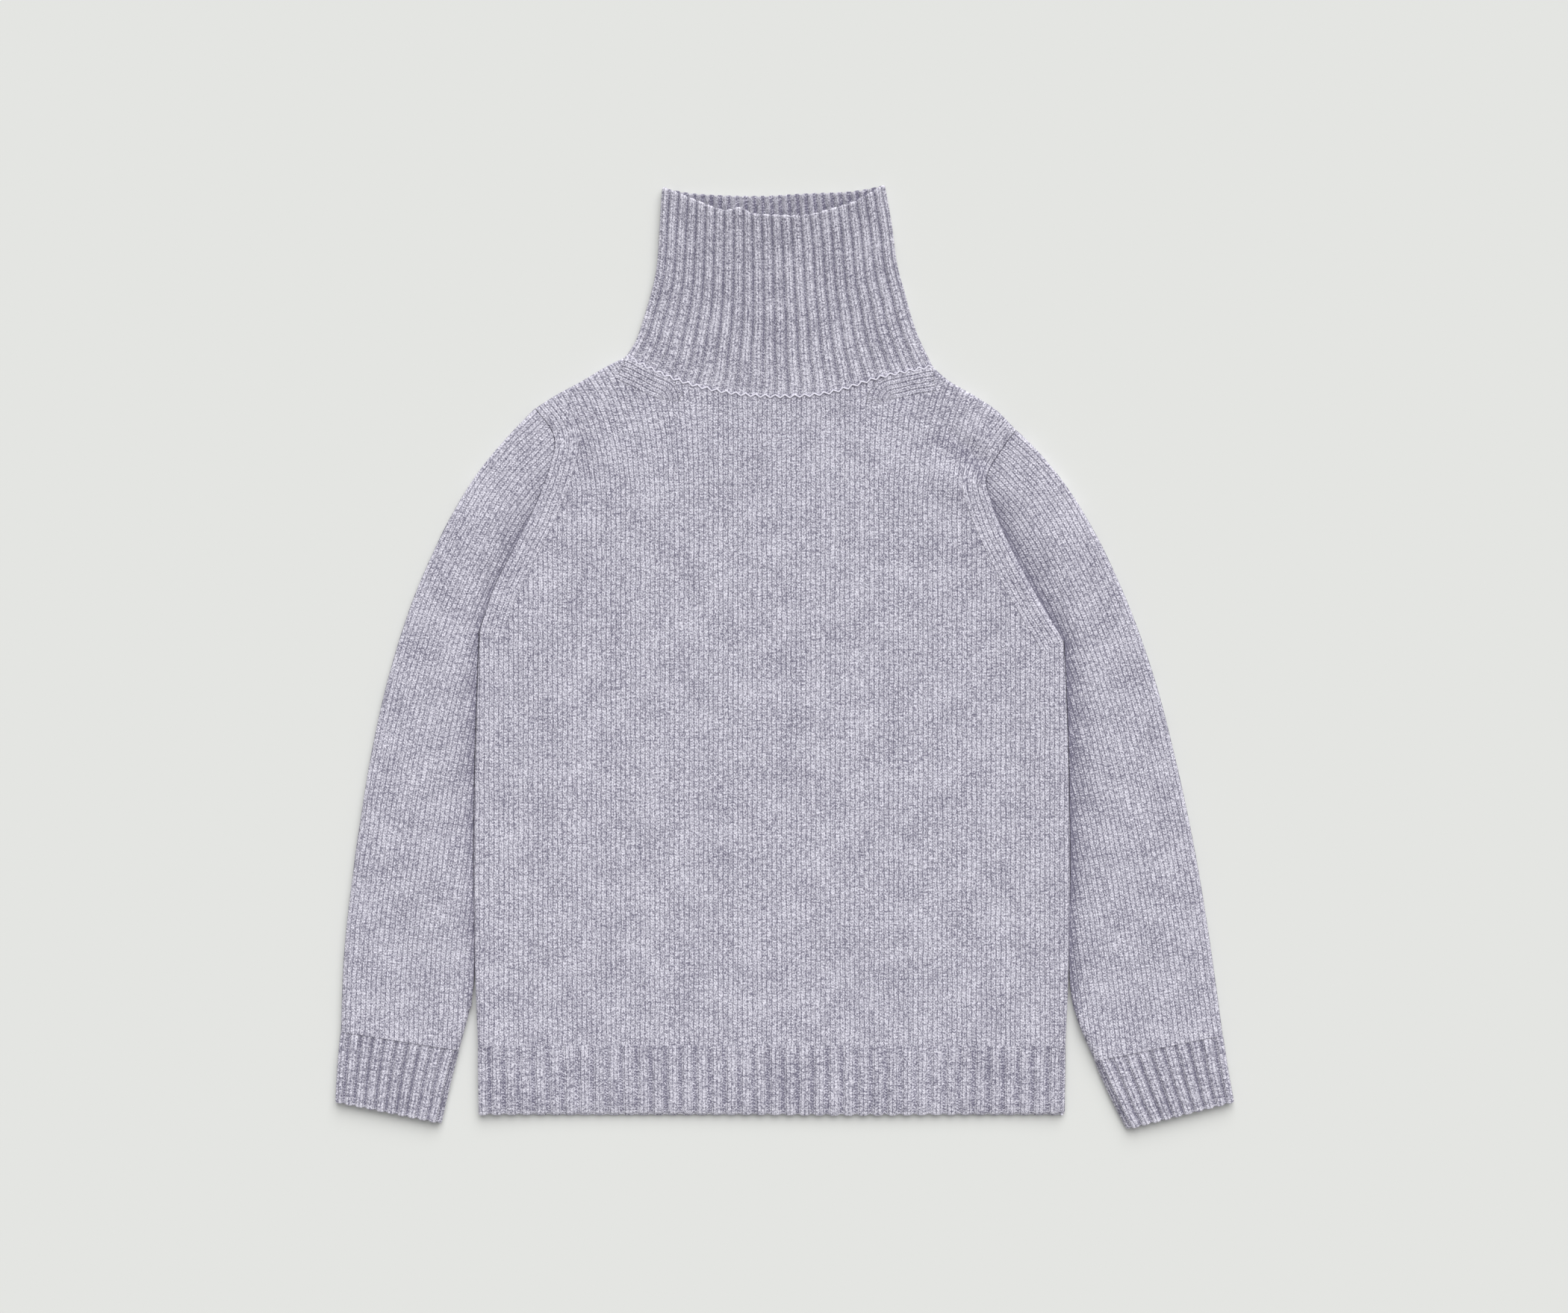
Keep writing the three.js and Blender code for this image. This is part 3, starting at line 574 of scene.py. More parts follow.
# %% Front and back panels
BODY_CELL = 3.6
BACK_CELL = 5.0
BACK_GROOVE = 0.9  # how far the back lifts along the armholes
BACK_GROOVE_WIDTH = 3.0
FRONT_RADIUS = 3.2
SEAM_ROUND = (1.0, 0.6)  # reach and least share of a wall's taper at a seam
SIDE_ROUND = (0.3, 0.5)
BODY_WIDTH = 2 * SIDE_SEAM[0][1]
SIDE_LENGTH = 345.0
ARMHOLE_LENGTH = 215.0


def body_shares(cell):
    start, end = NECK_SHARES
    right = divided(BODY_WIDTH * start, cell, TURN_STEPS) * start
    left = 1 - divided(BODY_WIDTH * (1 - end), cell, TURN_STEPS)[::-1] * (1 - end)
    neck = start + divided(BODY_WIDTH * (end - start), cell) * (end - start)
    low = divided(SIDE_LENGTH, cell) * UNDERARM_SHARE
    high = UNDERARM_SHARE + divided(ARMHOLE_LENGTH, cell, END_STEPS, TURN_STEPS) * (1 - UNDERARM_SHARE)
    return np.unique(np.concatenate([right, neck, left])), np.unique(np.concatenate([low, high]))


def body_panel(name, neck, cell, is_back):
    u, v = body_shares(cell)
    sides = [
        joined_edge((side_seam(s), UNDERARM_SHARE), (smooth_edge(s["armhole"]), 1.0)) for s in (RIGHT, LEFT)
    ]
    top = joined_edge(
        (smooth_edge(RIGHT["shoulder"]), NECK_SHARES[0]),
        (smooth_edge(neck), NECK_SHARES[1]),
        (smooth_edge(LEFT["shoulder"][::-1]), 1.0),
    )
    bottom = straight_edge(sides[0](0.0), sides[1](0.0))
    plan = patch(bottom, top, *sides, u, v)
    turned = turn_over(distance_to(body_edges, plan), EDGE_RADIUS if is_back else FRONT_RADIUS)
    to_armhole = distance_to(right_armhole + left_armhole, plan)
    if is_back:
        flat, shadow = BACK_GROOVE * bell(to_armhole, BACK_GROOVE_WIDTH), 0.0
    else:
        flat, shadow = front_height(plan), crease_shadow(plan)
    height = MIDDLE + (flat - MIDDLE) * turned
    ends = np.minimum(to_armhole, distance_to(outline(smooth_edge(neck)), plan))
    left = np.minimum(taper(ends, *SEAM_ROUND), taper(distance_to(body_edges, plan), *SIDE_ROUND))
    piece = cloth_wall(
        name, np.dstack([plan, height]), list(range(len(u))), CLOTH, left, 0.0,
        coordinates(body_knit(plan), seam_band(plan, not is_back), 0.0, shadow), 0.0, -1 if is_back else 1,
    )
    return piece, plan


front_panel, front_plan = body_panel("front_body", FRONT_NECK, BODY_CELL, False)
back_panel, back_plan = body_panel("back_body", BACK_NECK, BACK_CELL, True)

# %% [markdown]
# ## Hem ribs
# A 2-by-2 rib is two knit wales that stand up and two purl wales that sink back. A bump in the finish
# would leave the ribs' outline flat, so here the whole wall waves in and out, which also makes the lower
# edge scalloped. The waves grow out of the plain cloth below the seam.

# %% Ribs
RIB_WALES = 4
RIB_STEEPNESS = 2.2
RIB_BALANCE = 0.4  # how much wider the top of a rib is than its groove
RIB_GROWTH = 7.0
RIB_END = 0.55  # share of a rib's depth at the edge
RIB_END_REACH = 5.0
SCALLOP = 0.55
SCALLOP_REACH = 2.5
STEPS_PER_RIB = 9
RIB_WIDENING = 0.45
RIM = 1.6
RIM_LIGHT = 0.52  # painted highlight: how much paler the turned rim of a rib is painted


def rib_wave(phase):
    """1 on the knit wales and -1 on the purl wales, with soft flanks."""
    return np.tanh(RIB_STEEPNESS * (np.sin(TURN * phase) + RIB_BALANCE))


def rib_swell(depth, phase, from_seam, to_end):
    """How far the waves lift the wall; they grow from the seam and flatten at the edge."""
    grown = 1 - np.exp(-from_seam / RIB_GROWTH)
    return depth * rib_wave(phase) * grown * taper(to_end, RIB_END_REACH, RIB_END)


def scallop(phase, to_end):
    """How far the ribs push the edge out."""
    return SCALLOP * rib_wave(phase) * np.exp(-to_end / SCALLOP_REACH)


def rib_wales(phase, widening):
    """Wales across the ribs; the knit ones take more width than the purl ones."""
    return RIB_WALES * (phase - widening / (TURN) * np.sin(TURN * (phase - 0.25)))

# %% Hem ribs
HEM_RIBS = 40
HEM_CELL = 2.6
HEM_DEPTH = 0.75
HEM_GROOVE = 0.17
HEM_UNEVEN = 0.3
HEM_SHADE = 0.035
HEM_WIDENING = 0.1
HEM_DROOP = 1.9
HEM_DROOP_REACH = 5.0
HEM_WAVE = (0.9, 61.0, 0.6)  # height, length / 2 pi and phase
HEM_WAVE_REACH = 25.0
HEM_BLEND = 12.0  # how far below the seam the front's folds run on
HEM_ROUND = (0.3, 0.4)


def hem_rib(name, hem_y, is_back):
    right, left = (
        straight_edge((BODY_X + k * HEM_HALF_WIDTH, hem_y), (BODY_X + k * SIDE_SEAM[0][1], HEM_SEAM_Y))
        for k in (-1, 1)
    )
    drop = HEM_SEAM_Y - hem_y
    u = divided(BODY_WIDTH, BODY_WIDTH / HEM_RIBS / STEPS_PER_RIB, TURN_STEPS, TURN_STEPS)
    v = divided(drop, HEM_CELL, END_STEPS)
    bottom, top = (straight_edge(right(share), left(share)) for share in (0.0, 1.0))
    plan = patch(bottom, top, right, left, u, v)
    x = plan[..., 0]
    phase = np.broadcast_to(u * HEM_RIBS, x.shape)
    to_end = np.broadcast_to((v * drop)[:, None], x.shape)
    plan[..., 1] -= scallop(phase, to_end)
    half_width = HEM_HALF_WIDTH + (SIDE_SEAM[0][1] - HEM_HALF_WIDTH) * v[:, None]
    to_side = np.clip(half_width - np.abs(x - BODY_X), 0, None)
    flat = 0.0
    if not is_back:
        wave, length, start = HEM_WAVE
        plan[..., 1] -= wave * np.sin(x / length + start) * np.exp(-to_end / HEM_WAVE_REACH)
        seam_line = np.stack([x, np.full(x.shape, HEM_SEAM_Y)], axis=-1)
        hem = HEM_HEIGHT + (SIDE_HEIGHT - HEM_HEIGHT) * bell(to_side, PUFF_REACH)
        flat = hem + (front_height(seam_line) - hem) * np.exp(-(drop - to_end) / HEM_BLEND)
        flat -= HEM_DROOP * np.exp(-to_end / HEM_DROOP_REACH)
    height = MIDDLE + (flat - MIDDLE) * turn_over(to_side)
    swell = rib_swell(HEM_DEPTH, phase, drop - to_end, to_end)
    if is_back:
        swell = swell - HEM_DEPTH
    left_over = np.minimum(taper(to_end), taper(to_side, *HEM_ROUND))
    knit = np.dstack([rib_wales(phase, HEM_WIDENING), to_end / COURSE])
    # painted shade in the purl grooves, unevenly strong, and a painted highlight on the turned rim; HEM_SHADE
    # darkens the whole hem a little
    uneven = 1 + HEM_UNEVEN * (np.sin(x / 23) + np.sin(x / 41 + 2))
    shade = HEM_SHADE - RIM_LIGHT * np.exp(-to_end / RIM)
    return cloth_wall(
        name, np.dstack([plan, height]), list(range(len(u))), RIB, left_over, swell,
        coordinates(knit, FAR, HEM_GROOVE * uneven, shade), RIB_WALES / 2, -1 if is_back else 1,
    )


front_hem = hem_rib("front_hem", FRONT_HEM_Y, False)
back_hem = hem_rib("back_hem", BACK_HEM_Y, True)

# %% [markdown]
# ## Sleeves
# A sleeve is a tube pressed flat: one wall that runs across the top, turns over at the inner edge and
# comes back underneath. A round tube squashed by a lattice would lose its seams, so both layers are laid
# out flat. The first rows follow the armhole, and the wales run along the outer fold. Beside the body
# it slopes down, so the body seems to lie on it.

# %% Rows of a sleeve
SLEEVE_ROWS = np.array([
    # shares along the fold and the inner edge, how far it follows the armhole, bow
    (0, 0, 1, 0), (0.02, 0.002, 0.85, 8), (0.05, 0.005, 0.6, 15), (0.09, 0.01, 0.33, 18),
    (0.135, 0.018, 0.12, 17), (0.19, 0.035, 0, 12), (0.27, 0.075, 0, 6), (0.36, 0.15, 0, 2),
    (0.46, 0.26, 0, 0), (0.56, 0.4, 0, 0), (0.67, 0.55, 0, 0), (0.78, 0.7, 0, 0),
    (0.89, 0.855, 0, 0), (1, 1, 0, 0),
])
SLEEVE_BESIDE_SHARES = (0.85, 0.65, 0.42, 0.18)
SLEEVE_GAP = 0.1
ARMHOLE_GAP = 0.1
INNER_RADIUS = 0.5
BESIDE_END = -315.0  # below this the sleeve has left the body's side
BESIDE_FADE = 40.0
BOW_SKEW = 3
FOLD_LEAD = 3  # how far the wales' guide runs past the fold
SLEEVE_WIDTH = 118.0
SLEEVE_CELL = 3.6
SLEEVE_CREASES = {"right": (7.5, 3.6, 0.4), "left": (11.0, 4.4, 0.62)}  # reach, depth and darkness of the painted shade
CREASE_SHADE_REACH = 0.6
CREASE_SHADE_HIGH = 0.15  # share of the painted shade's darkness at the shoulders
SLEEVE_PUFF = 0.8
SLEEVE_FOLDS = {
    "right": [
        ((-262, 40), (-290, -60), 12, 0.9), ((-300, 20), (-322, -90), 16, -0.6),
        ((-236, 128), (-262, 74), 12, 0.8), ((-306, -150), (-316, -260), 18, 0.6),
    ],
    "left": [
        ((214, 120), (244, 62), 12, 0.9), ((246, 44), (276, -40), 14, 0.8),
        ((282, 20), (306, -90), 16, -0.6), ((300, -150), (318, -260), 18, 0.6),
    ],
}


def sleeve_inner(side):
    seam, sign = side_seam(side), side["sign"]
    beside = [seam(share) + (sign * SLEEVE_GAP, 0) for share in SLEEVE_BESIDE_SHARES]
    underarm = np.add(side["armhole"][0], (sign * ARMHOLE_GAP, 0))
    return smooth_edge([underarm, *beside, *side["inner"]])


def sleeve_plan(side, w, row):
    """Points of the sleeve's layers: w across from the fold, row along the table above."""
    fold_at, inner_at, follow, bow = SLEEVE_ROWS.T
    fold, inner = smooth_edge(side["fold"])(fold_at), sleeve_inner(side)(inner_at)
    straight = fold[:, None] + (inner - fold)[:, None] * w[None, :, None]
    seam = smooth_edge(side["armhole"])(1 - w)[None] + (side["sign"] * ARMHOLE_GAP, 0)
    plan = straight + (seam - straight) * follow[:, None, None]
    plan[..., 0] += side["sign"] * bow[:, None] * np.sin(np.pi * w[None] ** BOW_SKEW)
    return spline(plan, row)


def ring_order(count):
    """Columns of a flat tube: over the upper layer, and back along the lower one."""
    return [*range(count), count - 1, *range(count, 2 * count - 2), 0]


def ring_of(upper, lower):
    """One grid from two layers that share their end columns."""
    return np.concatenate([upper, lower[:, -2:0:-1]], axis=1)


def both_layers(upper, lower):
    """Values for each strip corner of a flat tube, in the same order."""
    return np.concatenate([upper, lower[:, ::-1]], axis=1)


def sleeve(side):
    sign, name = side["sign"], side["name"]
    w = divided(SLEEVE_WIDTH, SLEEVE_CELL, TURN_STEPS, TURN_STEPS)
    seam_rows = np.concatenate([[0, 0.03, 0.07, 0.13, 0.22, 0.34], np.linspace(0.5, 5, 26)])
    rows = np.concatenate([seam_rows, np.linspace(5, 13, 126)[1:]])
    plan = sleeve_plan(side, w, rows)
    fold_line, inner_line = outline(smooth_edge(side["fold"])), outline(sleeve_inner(side))
    to_fold, to_inner = distance_to(fold_line, plan), distance_to(inner_line, plan)
    armhole = right_armhole if sign < 0 else left_armhole
    to_seam = distance_to(armhole, plan)
    to_body = np.minimum(to_inner, to_seam)
    beside = np.clip((plan[..., 1] - BESIDE_END) / BESIDE_FADE, 0, 1)
    reach, depth, dark = SLEEVE_CREASES[name]
    low, seam_depth = creased(plan), SEAM_SHARE * VALLEY_DEPTH
    dip = (seam_depth + (depth - seam_depth) * low) * np.exp(-to_body / reach) * beside
    raised = SLEEVE_HEIGHT + SLEEVE_PUFF * low - dip * np.clip(to_fold / VALLEY_FADE, 0, 1)
    raised = np.maximum(raised + fold_rise(SLEEVE_FOLDS[name], plan) + soft_swell(plan), LEAST_HEIGHT)
    inner_radius = INNER_RADIUS + (EDGE_RADIUS - INNER_RADIUS) * (1 - beside)
    radii = (inner_radius, EDGE_RADIUS)
    over, under = (np.minimum(turn_over(to_fold), turn_over(to_inner, r)) for r in radii)
    over[:, [0, -1]] = under[:, [0, -1]] = 0
    upper = np.dstack([plan, MIDDLE + (raised - MIDDLE) * over])
    lower = np.dstack([plan, MIDDLE * (1 - under)])
    fold = fold_line[0]
    cap, tail = fold[0] - FOLD_LEAD * (fold[5] - fold[0]), fold[-1] + FOLD_LEAD * (fold[-1] - fold[-5])
    off, along, _ = along_line(np.concatenate([[cap], fold, [tail]]), plan)
    # painted shade: the sleeve's colour darkens beside the body and along the armhole crease
    shadow = dark * np.exp(-to_body / (CREASE_SHADE_REACH * reach)) * beside
    shadow *= CREASE_SHADE_HIGH + (1 - CREASE_SHADE_HIGH) * low
    left_over = ring_of(*[taper(to_seam, *SEAM_ROUND)] * 2)
    knit = both_layers(np.dstack([off / WALE, -along / COURSE]), np.dstack([-off / WALE, -along / COURSE]))
    return cloth_wall(
        f"{name}_arm", ring_of(upper, lower), ring_order(len(w)), CLOTH, left_over,
        0.0, coordinates(knit, FAR, 0.0, both_layers(shadow, 0 * shadow)), 0.0, sign,
    ), plan


right_arm, right_arm_plan = sleeve(RIGHT)
left_arm, left_arm_plan = sleeve(LEFT)

# %% [markdown]
# ## Cuffs
# The cuffs are short flat tubes of the same rib, made like the hem but in the round. They take over the
# sleeve's width and height at the seam and end in a scalloped edge.

# %% Cuffs
CUFF_RIBS = 10
CUFF_CELL = 2.6
CUFF_LENGTH = 62.0
CUFF_DEPTH = 1.05
CUFF_GROOVE = 0.34
CUFF_SHADE = 0.05
CUFF_BLEND = 20.0


def cuff(side):
    fold, inner = smooth_edge(side["cuff_fold"]), smooth_edge(side["cuff_inner"])
    w = np.linspace(0, 1, CUFF_RIBS * (STEPS_PER_RIB + 2) + 1)
    v = 1 - divided(CUFF_LENGTH, CUFF_CELL, END_STEPS)[::-1]
    seam, end = (straight_edge(fold(share), inner(share)) for share in (0.0, 1.0))
    plan = patch(seam, end, fold, inner, w, v)
    turned = turn_over(distance_to(outline(fold, inner), plan))
    turned[:, [0, -1]] = 0
    from_seam = np.broadcast_to((v * CUFF_LENGTH)[:, None], turned.shape)
    to_end = CUFF_LENGTH - from_seam
    across = np.broadcast_to(w * CUFF_RIBS, turned.shape)
    down = inner(1.0) - inner(0.0)
    down = down / np.hypot(*down)
    phases = [across, -across]
    tops = [CUFF_HEIGHT + soft_swell(plan) * np.exp(-from_seam / CUFF_BLEND), 0.0]
    layers = []
    for phase, top in zip(phases, tops):
        moved = plan + scallop(phase, to_end)[..., None] * down
        layers.append(np.dstack([moved, MIDDLE + (top - MIDDLE) * turned]))
    swell = ring_of(*[rib_swell(CUFF_DEPTH, phase, from_seam, to_end) for phase in phases])
    face = ring_of(*layers)
    under = np.zeros(face.shape[:2])
    under[:, len(w):] = -CUFF_DEPTH * turned[:, -2:0:-1]
    knit = both_layers(*[np.dstack([rib_wales(phase, RIB_WIDENING), -to_end / COURSE]) for phase in phases])
    # painted shade in the purl grooves (CUFF_GROOVE) and a painted highlight on the turned rim; CUFF_SHADE
    # darkens the whole cuff a little
    rim = both_layers(*[CUFF_SHADE - RIM_LIGHT * np.exp(-to_end / RIM)] * 2)
    return cloth_wall(
        f"{side['name']}_wrist", face, ring_order(len(w)), RIB, ring_of(*[taper(to_end)] * 2),
        swell + under, coordinates(knit, FAR, CUFF_GROOVE, rim), RIB_WALES / 2, side["sign"],
    )


right_wrist = cuff(RIGHT)
left_wrist = cuff(LEFT)

# %% [markdown]
# ## The collar
# The tall collar is one ribbed tube on the neck seam that narrows towards its open end. A front and a
# back strip would show two edges at the sides, so it is one closed wall. Its front edge sags, and the
# ribbed inside of the back shows behind it. On the inner face knit and purl change places.

# %% Collar
COLLAR_RIBS = 24
COLLAR_CELL = 2.5
COLLAR_LENGTH = 150.0
COLLAR_DEPTH = 1.2
COLLAR_BACK_RIBS = 26
COLLAR_GROOVE = 0.42
COLLAR_OPENING = 42.0  # how far from the neck seam the ribs open
COLLAR_SEAM_GROOVE = 0.35
COLLAR_SWELL = 0.5
MOUTH_RISE = 5.5
MOUTH_REACH = 28.0
MOUTH_ROUND = 0.7
MOUTH_SHADOW = 0.12
MOUTH_SHADOW_REACH = 4.0
MOUTH_LIGHT = 0.26


collar_sides = [smooth_edge(s["collar"]) for s in (RIGHT, LEFT)]
collar_outline = outline(*collar_sides)


def collar():
    w = np.linspace(0, 1, COLLAR_RIBS * STEPS_PER_RIB + 1)
    v = 1 - divided(COLLAR_LENGTH, COLLAR_CELL, END_STEPS, END_STEPS[:3])[::-1]
    from_seam = np.broadcast_to((v * COLLAR_LENGTH)[:, None], (len(v), len(w)))
    to_end = COLLAR_LENGTH - from_seam
    opened = 1 - np.exp(-from_seam / COLLAR_OPENING)
    # painted shade in the purl grooves, weaker near the neck seam
    groove = COLLAR_GROOVE * (COLLAR_SEAM_GROOVE + (1 - COLLAR_SEAM_GROOVE) * opened)
    front_edge = outline(smooth_edge(FRONT_MOUTH))
    layers, phases, dark = [], [], []
    for neck, mouth, is_upper in ((FRONT_NECK, FRONT_MOUTH, True), (BACK_NECK, BACK_MOUTH, False)):
        plan = patch(smooth_edge(neck), smooth_edge(mouth), *collar_sides, w, v)
        phase = np.broadcast_to(w * COLLAR_RIBS if is_upper else -w * COLLAR_BACK_RIBS, plan.shape[:2])
        # painted highlight on the mouth's rim, and painted shadow on the back's inside just behind the
        # front's edge
        shadow = -MOUTH_LIGHT * np.exp(-to_end / RIM)
        if not is_upper:
            behind = distance_to(front_edge, plan)
            shadow = shadow + MOUTH_SHADOW * np.exp(-behind / MOUTH_SHADOW_REACH)
        dark.append(np.dstack([groove, shadow]))
        turned = turn_over(distance_to(collar_outline, plan))
        turned[:, [0, -1]] = 0
        top = 0.0
        if is_upper:
            top = NECK_HEIGHT + (MOUTH_HEIGHT - NECK_HEIGHT) * v[:, None] + COLLAR_SWELL * soft_swell(plan)
            top = top + MOUTH_RISE * np.exp(-to_end / MOUTH_REACH) * np.sin(np.pi * w)[None] ** MOUTH_ROUND
        plan[..., 1] += scallop(phase, to_end)
        layers.append(np.dstack([plan, MIDDLE + (top - MIDDLE) * turned]))
        phases.append(phase)
    face = ring_of(*layers)
    swell = ring_of(*[rib_swell(COLLAR_DEPTH, phase, from_seam, to_end) * opened for phase in phases])
    swell[:, len(w):] -= COLLAR_DEPTH * turned[:, -2:0:-1]
    left_over = ring_of(*[np.minimum(taper(to_end), taper(from_seam))] * 2)
    knit = both_layers(*[np.dstack([rib_wales(phase, RIB_WIDENING), from_seam / COURSE]) for phase in phases])
    dark = both_layers(*dark)
    return cloth_wall(
        "roll_collar", face, ring_order(len(w)), RIB, left_over, swell,
        coordinates(knit, FAR, dark[..., 0], dark[..., 1]), RIB_WALES / 2, 1,
    )


roll_collar = collar()

# %% [markdown]
# ## The linking chain
# The collar is linked to the body loop by loop, which leaves a fine zigzag of yarn along the neck seam.
# A curve with a round bevel could draw it; a tube of mesh rings needs no conversion.

# %% Linking chain
CHAIN_RADIUS = 0.75
CHAIN_PERIOD = 8.4
CHAIN_SWING = 1.3
CHAIN_SIDES = 6
CHAIN_LIFT = 0.6
CHAIN_BACK_HEIGHT = 0.9


def chain_path():
    front, back = smooth_edge(FRONT_NECK), smooth_edge(BACK_NECK)
    share = np.linspace(0, 1, 500)
    line = np.concatenate([front(share), back(share[::-1])[1:-1]])
    turned = turn_over(distance_to(collar_outline, line))
    is_front = np.arange(len(line)) < len(share)
    top = (NECK_HEIGHT + BODY_HEIGHT + NECK_RISE) / 2 + CHAIN_LIFT
    height = MIDDLE + (np.where(is_front, top, CHAIN_BACK_HEIGHT) - MIDDLE) * turned
    return np.column_stack([line, height])


def heading(line):
    """Unit directions along a closed line."""
    ahead = np.roll(line, -1, axis=0) - np.roll(line, 1, axis=0)
    return ahead / np.linalg.norm(ahead, axis=1, keepdims=True)


def zigzag_thread(name, path):
    """A closed tube that swings to both sides of a closed path."""
    lengths = np.linalg.norm(np.roll(path, -1, axis=0) - path, axis=1)
    along = np.concatenate([[0], np.cumsum(lengths)])
    total = along[-1]
    count = round(total / CHAIN_PERIOD)
    t = np.linspace(0, total, count * 8, endpoint=False)
    closed = np.vstack([path, path[:1]])
    line = np.column_stack([np.interp(t, along, closed[:, k]) for k in range(3)])
    sideways = np.cross([0, 0, 1], heading(line))
    wave = np.arcsin(np.sin(TURN * count * t / total)) * 2 / np.pi
    line = line + sideways * (CHAIN_SWING * wave)[:, None]
    ahead = heading(line)
    sideways = np.cross([0, 0, 1], ahead)
    sideways /= np.linalg.norm(sideways, axis=1, keepdims=True)
    upward = np.cross(ahead, sideways)
    angles = TURN * np.arange(CHAIN_SIDES) / CHAIN_SIDES
    rings = [line + CHAIN_RADIUS * (math.cos(a) * sideways + math.sin(a) * upward) for a in angles]
    n = len(line)
    i, j = np.meshgrid(np.arange(n), np.arange(CHAIN_SIDES), indexing="ij")
    i1, j1 = (i + 1) % n, (j + 1) % CHAIN_SIDES
    quads = np.stack([a * CHAIN_SIDES + b for a, b in ((i, j), (i1, j), (i1, j1), (i, j1))], axis=-1)
    print(name, "is", round(total), "mm long with", count, "zigzags")
    return add_piece(name, np.stack(rings, axis=1).reshape(-1, 3), quads.reshape(-1, 4))


linking_chain = zigzag_thread("linking_chain", chain_path())

# %% [markdown]
# ## Writing a finish as arithmetic
# A knitted finish is mostly arithmetic on the stitch coordinates. This small class wraps a socket, so
# that Python expressions add the Math nodes, and one method adds any other node.

# %% Signals
class Signal:
    tree = None

    def __init__(self, socket):
        self.socket = socket

    @classmethod
    def node(cls, kind, settings=None, inputs=None, output=0):
        """Adds a node with its settings, and the values or links of its sockets."""
        made = cls.tree.nodes.new("ShaderNode" + kind)
        for name, value in (settings or {}).items():
            setattr(made, name, value)
        for name, value in (inputs or {}).items():
            if isinstance(value, Signal):
                cls.tree.links.new(value.socket, made.inputs[name])
            else:
                made.inputs[name].default_value = value
        return cls(made.outputs[output])

    def math(self, operation, *others):
        return Signal.node("Math", {"operation": operation}, dict(enumerate([self, *others])))

    def output(self, name):
        return Signal(self.socket.node.outputs[name])

    def into(self, socket):
        Signal.tree.links.new(self.socket, socket)

    def __add__(self, other):
        return self.math("ADD", other)

    def __sub__(self, other):
        return self.math("SUBTRACT", other)

    def __rsub__(self, other):
        return Signal.node("Math", {"operation": "SUBTRACT"}, {0: other, 1: self})

    def __mul__(self, other):
        return self.math("MULTIPLY", other)

    __radd__ = __add__
    __rmul__ = __mul__


def mixed(share, start, end):
    """start where share is 0 and end where it is 1."""
    return start + share * (end - start)


def step_up(value, low, high):
    """0 below low, 1 above high, smooth between."""
    inputs = {"Value": value, "From Min": low, "From Max": high}
    return Signal.node("MapRange", {"interpolation_type": "SMOOTHSTEP"}, inputs)


def noise(x, y, detail=2.0, roughness=0.5):
    vector = Signal.node("CombineXYZ", {}, {"X": x, "Y": y})
    inputs = {"Vector": vector, "Scale": 1.0, "Detail": detail, "Roughness": roughness}
    return Signal.node("TexNoise", {"noise_dimensions": "2D"}, inputs)

# %% [markdown]
# ## The yarn
# The wool is a mélange: pale lavender-grey fibre with white and dark flecks spun in. In stocking stitch
# the two legs of each loop make a column of small Vs; on the purl side only short arcs show. Both
# heights serve twice: for the bump, and to darken the hollows between stitches, where little light falls.

# %% Stitches
V_SLANT = 1.5
PURL_ARC = 0.22


def knit_stitch(wale, course):
    """The knit side: low between the wales, a crease down each wale, a ridge on each leg."""
    across = (wale.math("FRACT") - 0.5).math("ABSOLUTE")
    side = step_up(0.5 - across, 0.0, 0.24)
    middle = step_up(across, -0.06, 0.14)
    loop = ((course - across * V_SLANT) * math.pi).math("SINE").math("ABSOLUTE")
    return side * (0.55 + 0.45 * middle) * (0.5 + 0.5 * loop)


def purl_stitch(wale, course):
    bend = (wale * TURN).math("SINE") * PURL_ARC
    return ((course + bend) * math.pi).math("SINE").math("ABSOLUTE")

# %% Yarn
DARK_WOOL = (0.200, 0.190, 0.262, 1.0)
PALE_WOOL = (0.900, 0.880, 0.985, 1.0)


def yarn(name):
    """A matt material, which Signal then builds in, and its shader."""
    material, shader = matt_material(name, 0.95, 0.12)
    Signal.tree = material.node_tree
    return material, shader


def fibre(pale):
    """The colour of dark fibre with a share of pale fibre."""
    return Signal.node("Mix", {"data_type": "RGBA"}, {0: pale, 6: DARK_WOOL, 7: PALE_WOOL}, 2)

# %% [markdown]
# ## Knitted wool
# Three noises that follow the stitches make the mélange: flecks, short streaks and faint clouds. Noise
# in space would look like felt. The stitches also wander a little, and every fourth course beside a band
# carries a mark, where two loops were knitted together.

# %% Wool
FLECK = 3.0
STREAK = 1.1
CLOUD = 0.42
HOLLOW = 0.5
HOLLOW_STREAK = 1.3
MARK = 0.2
MARK_COURSES = 4
WALE_WANDER = 0.5
COURSE_WANDER = 1.4
PURL_DEPTH = 0.6
RIB_GRAIN = 0.55
FUZZ = 0.35
BUMP_DEPTH = 0.6 * MM


def layer(name):
    return Signal.node("SeparateXYZ", {}, {0: Signal.node("UVMap", {"uv_map": name})})


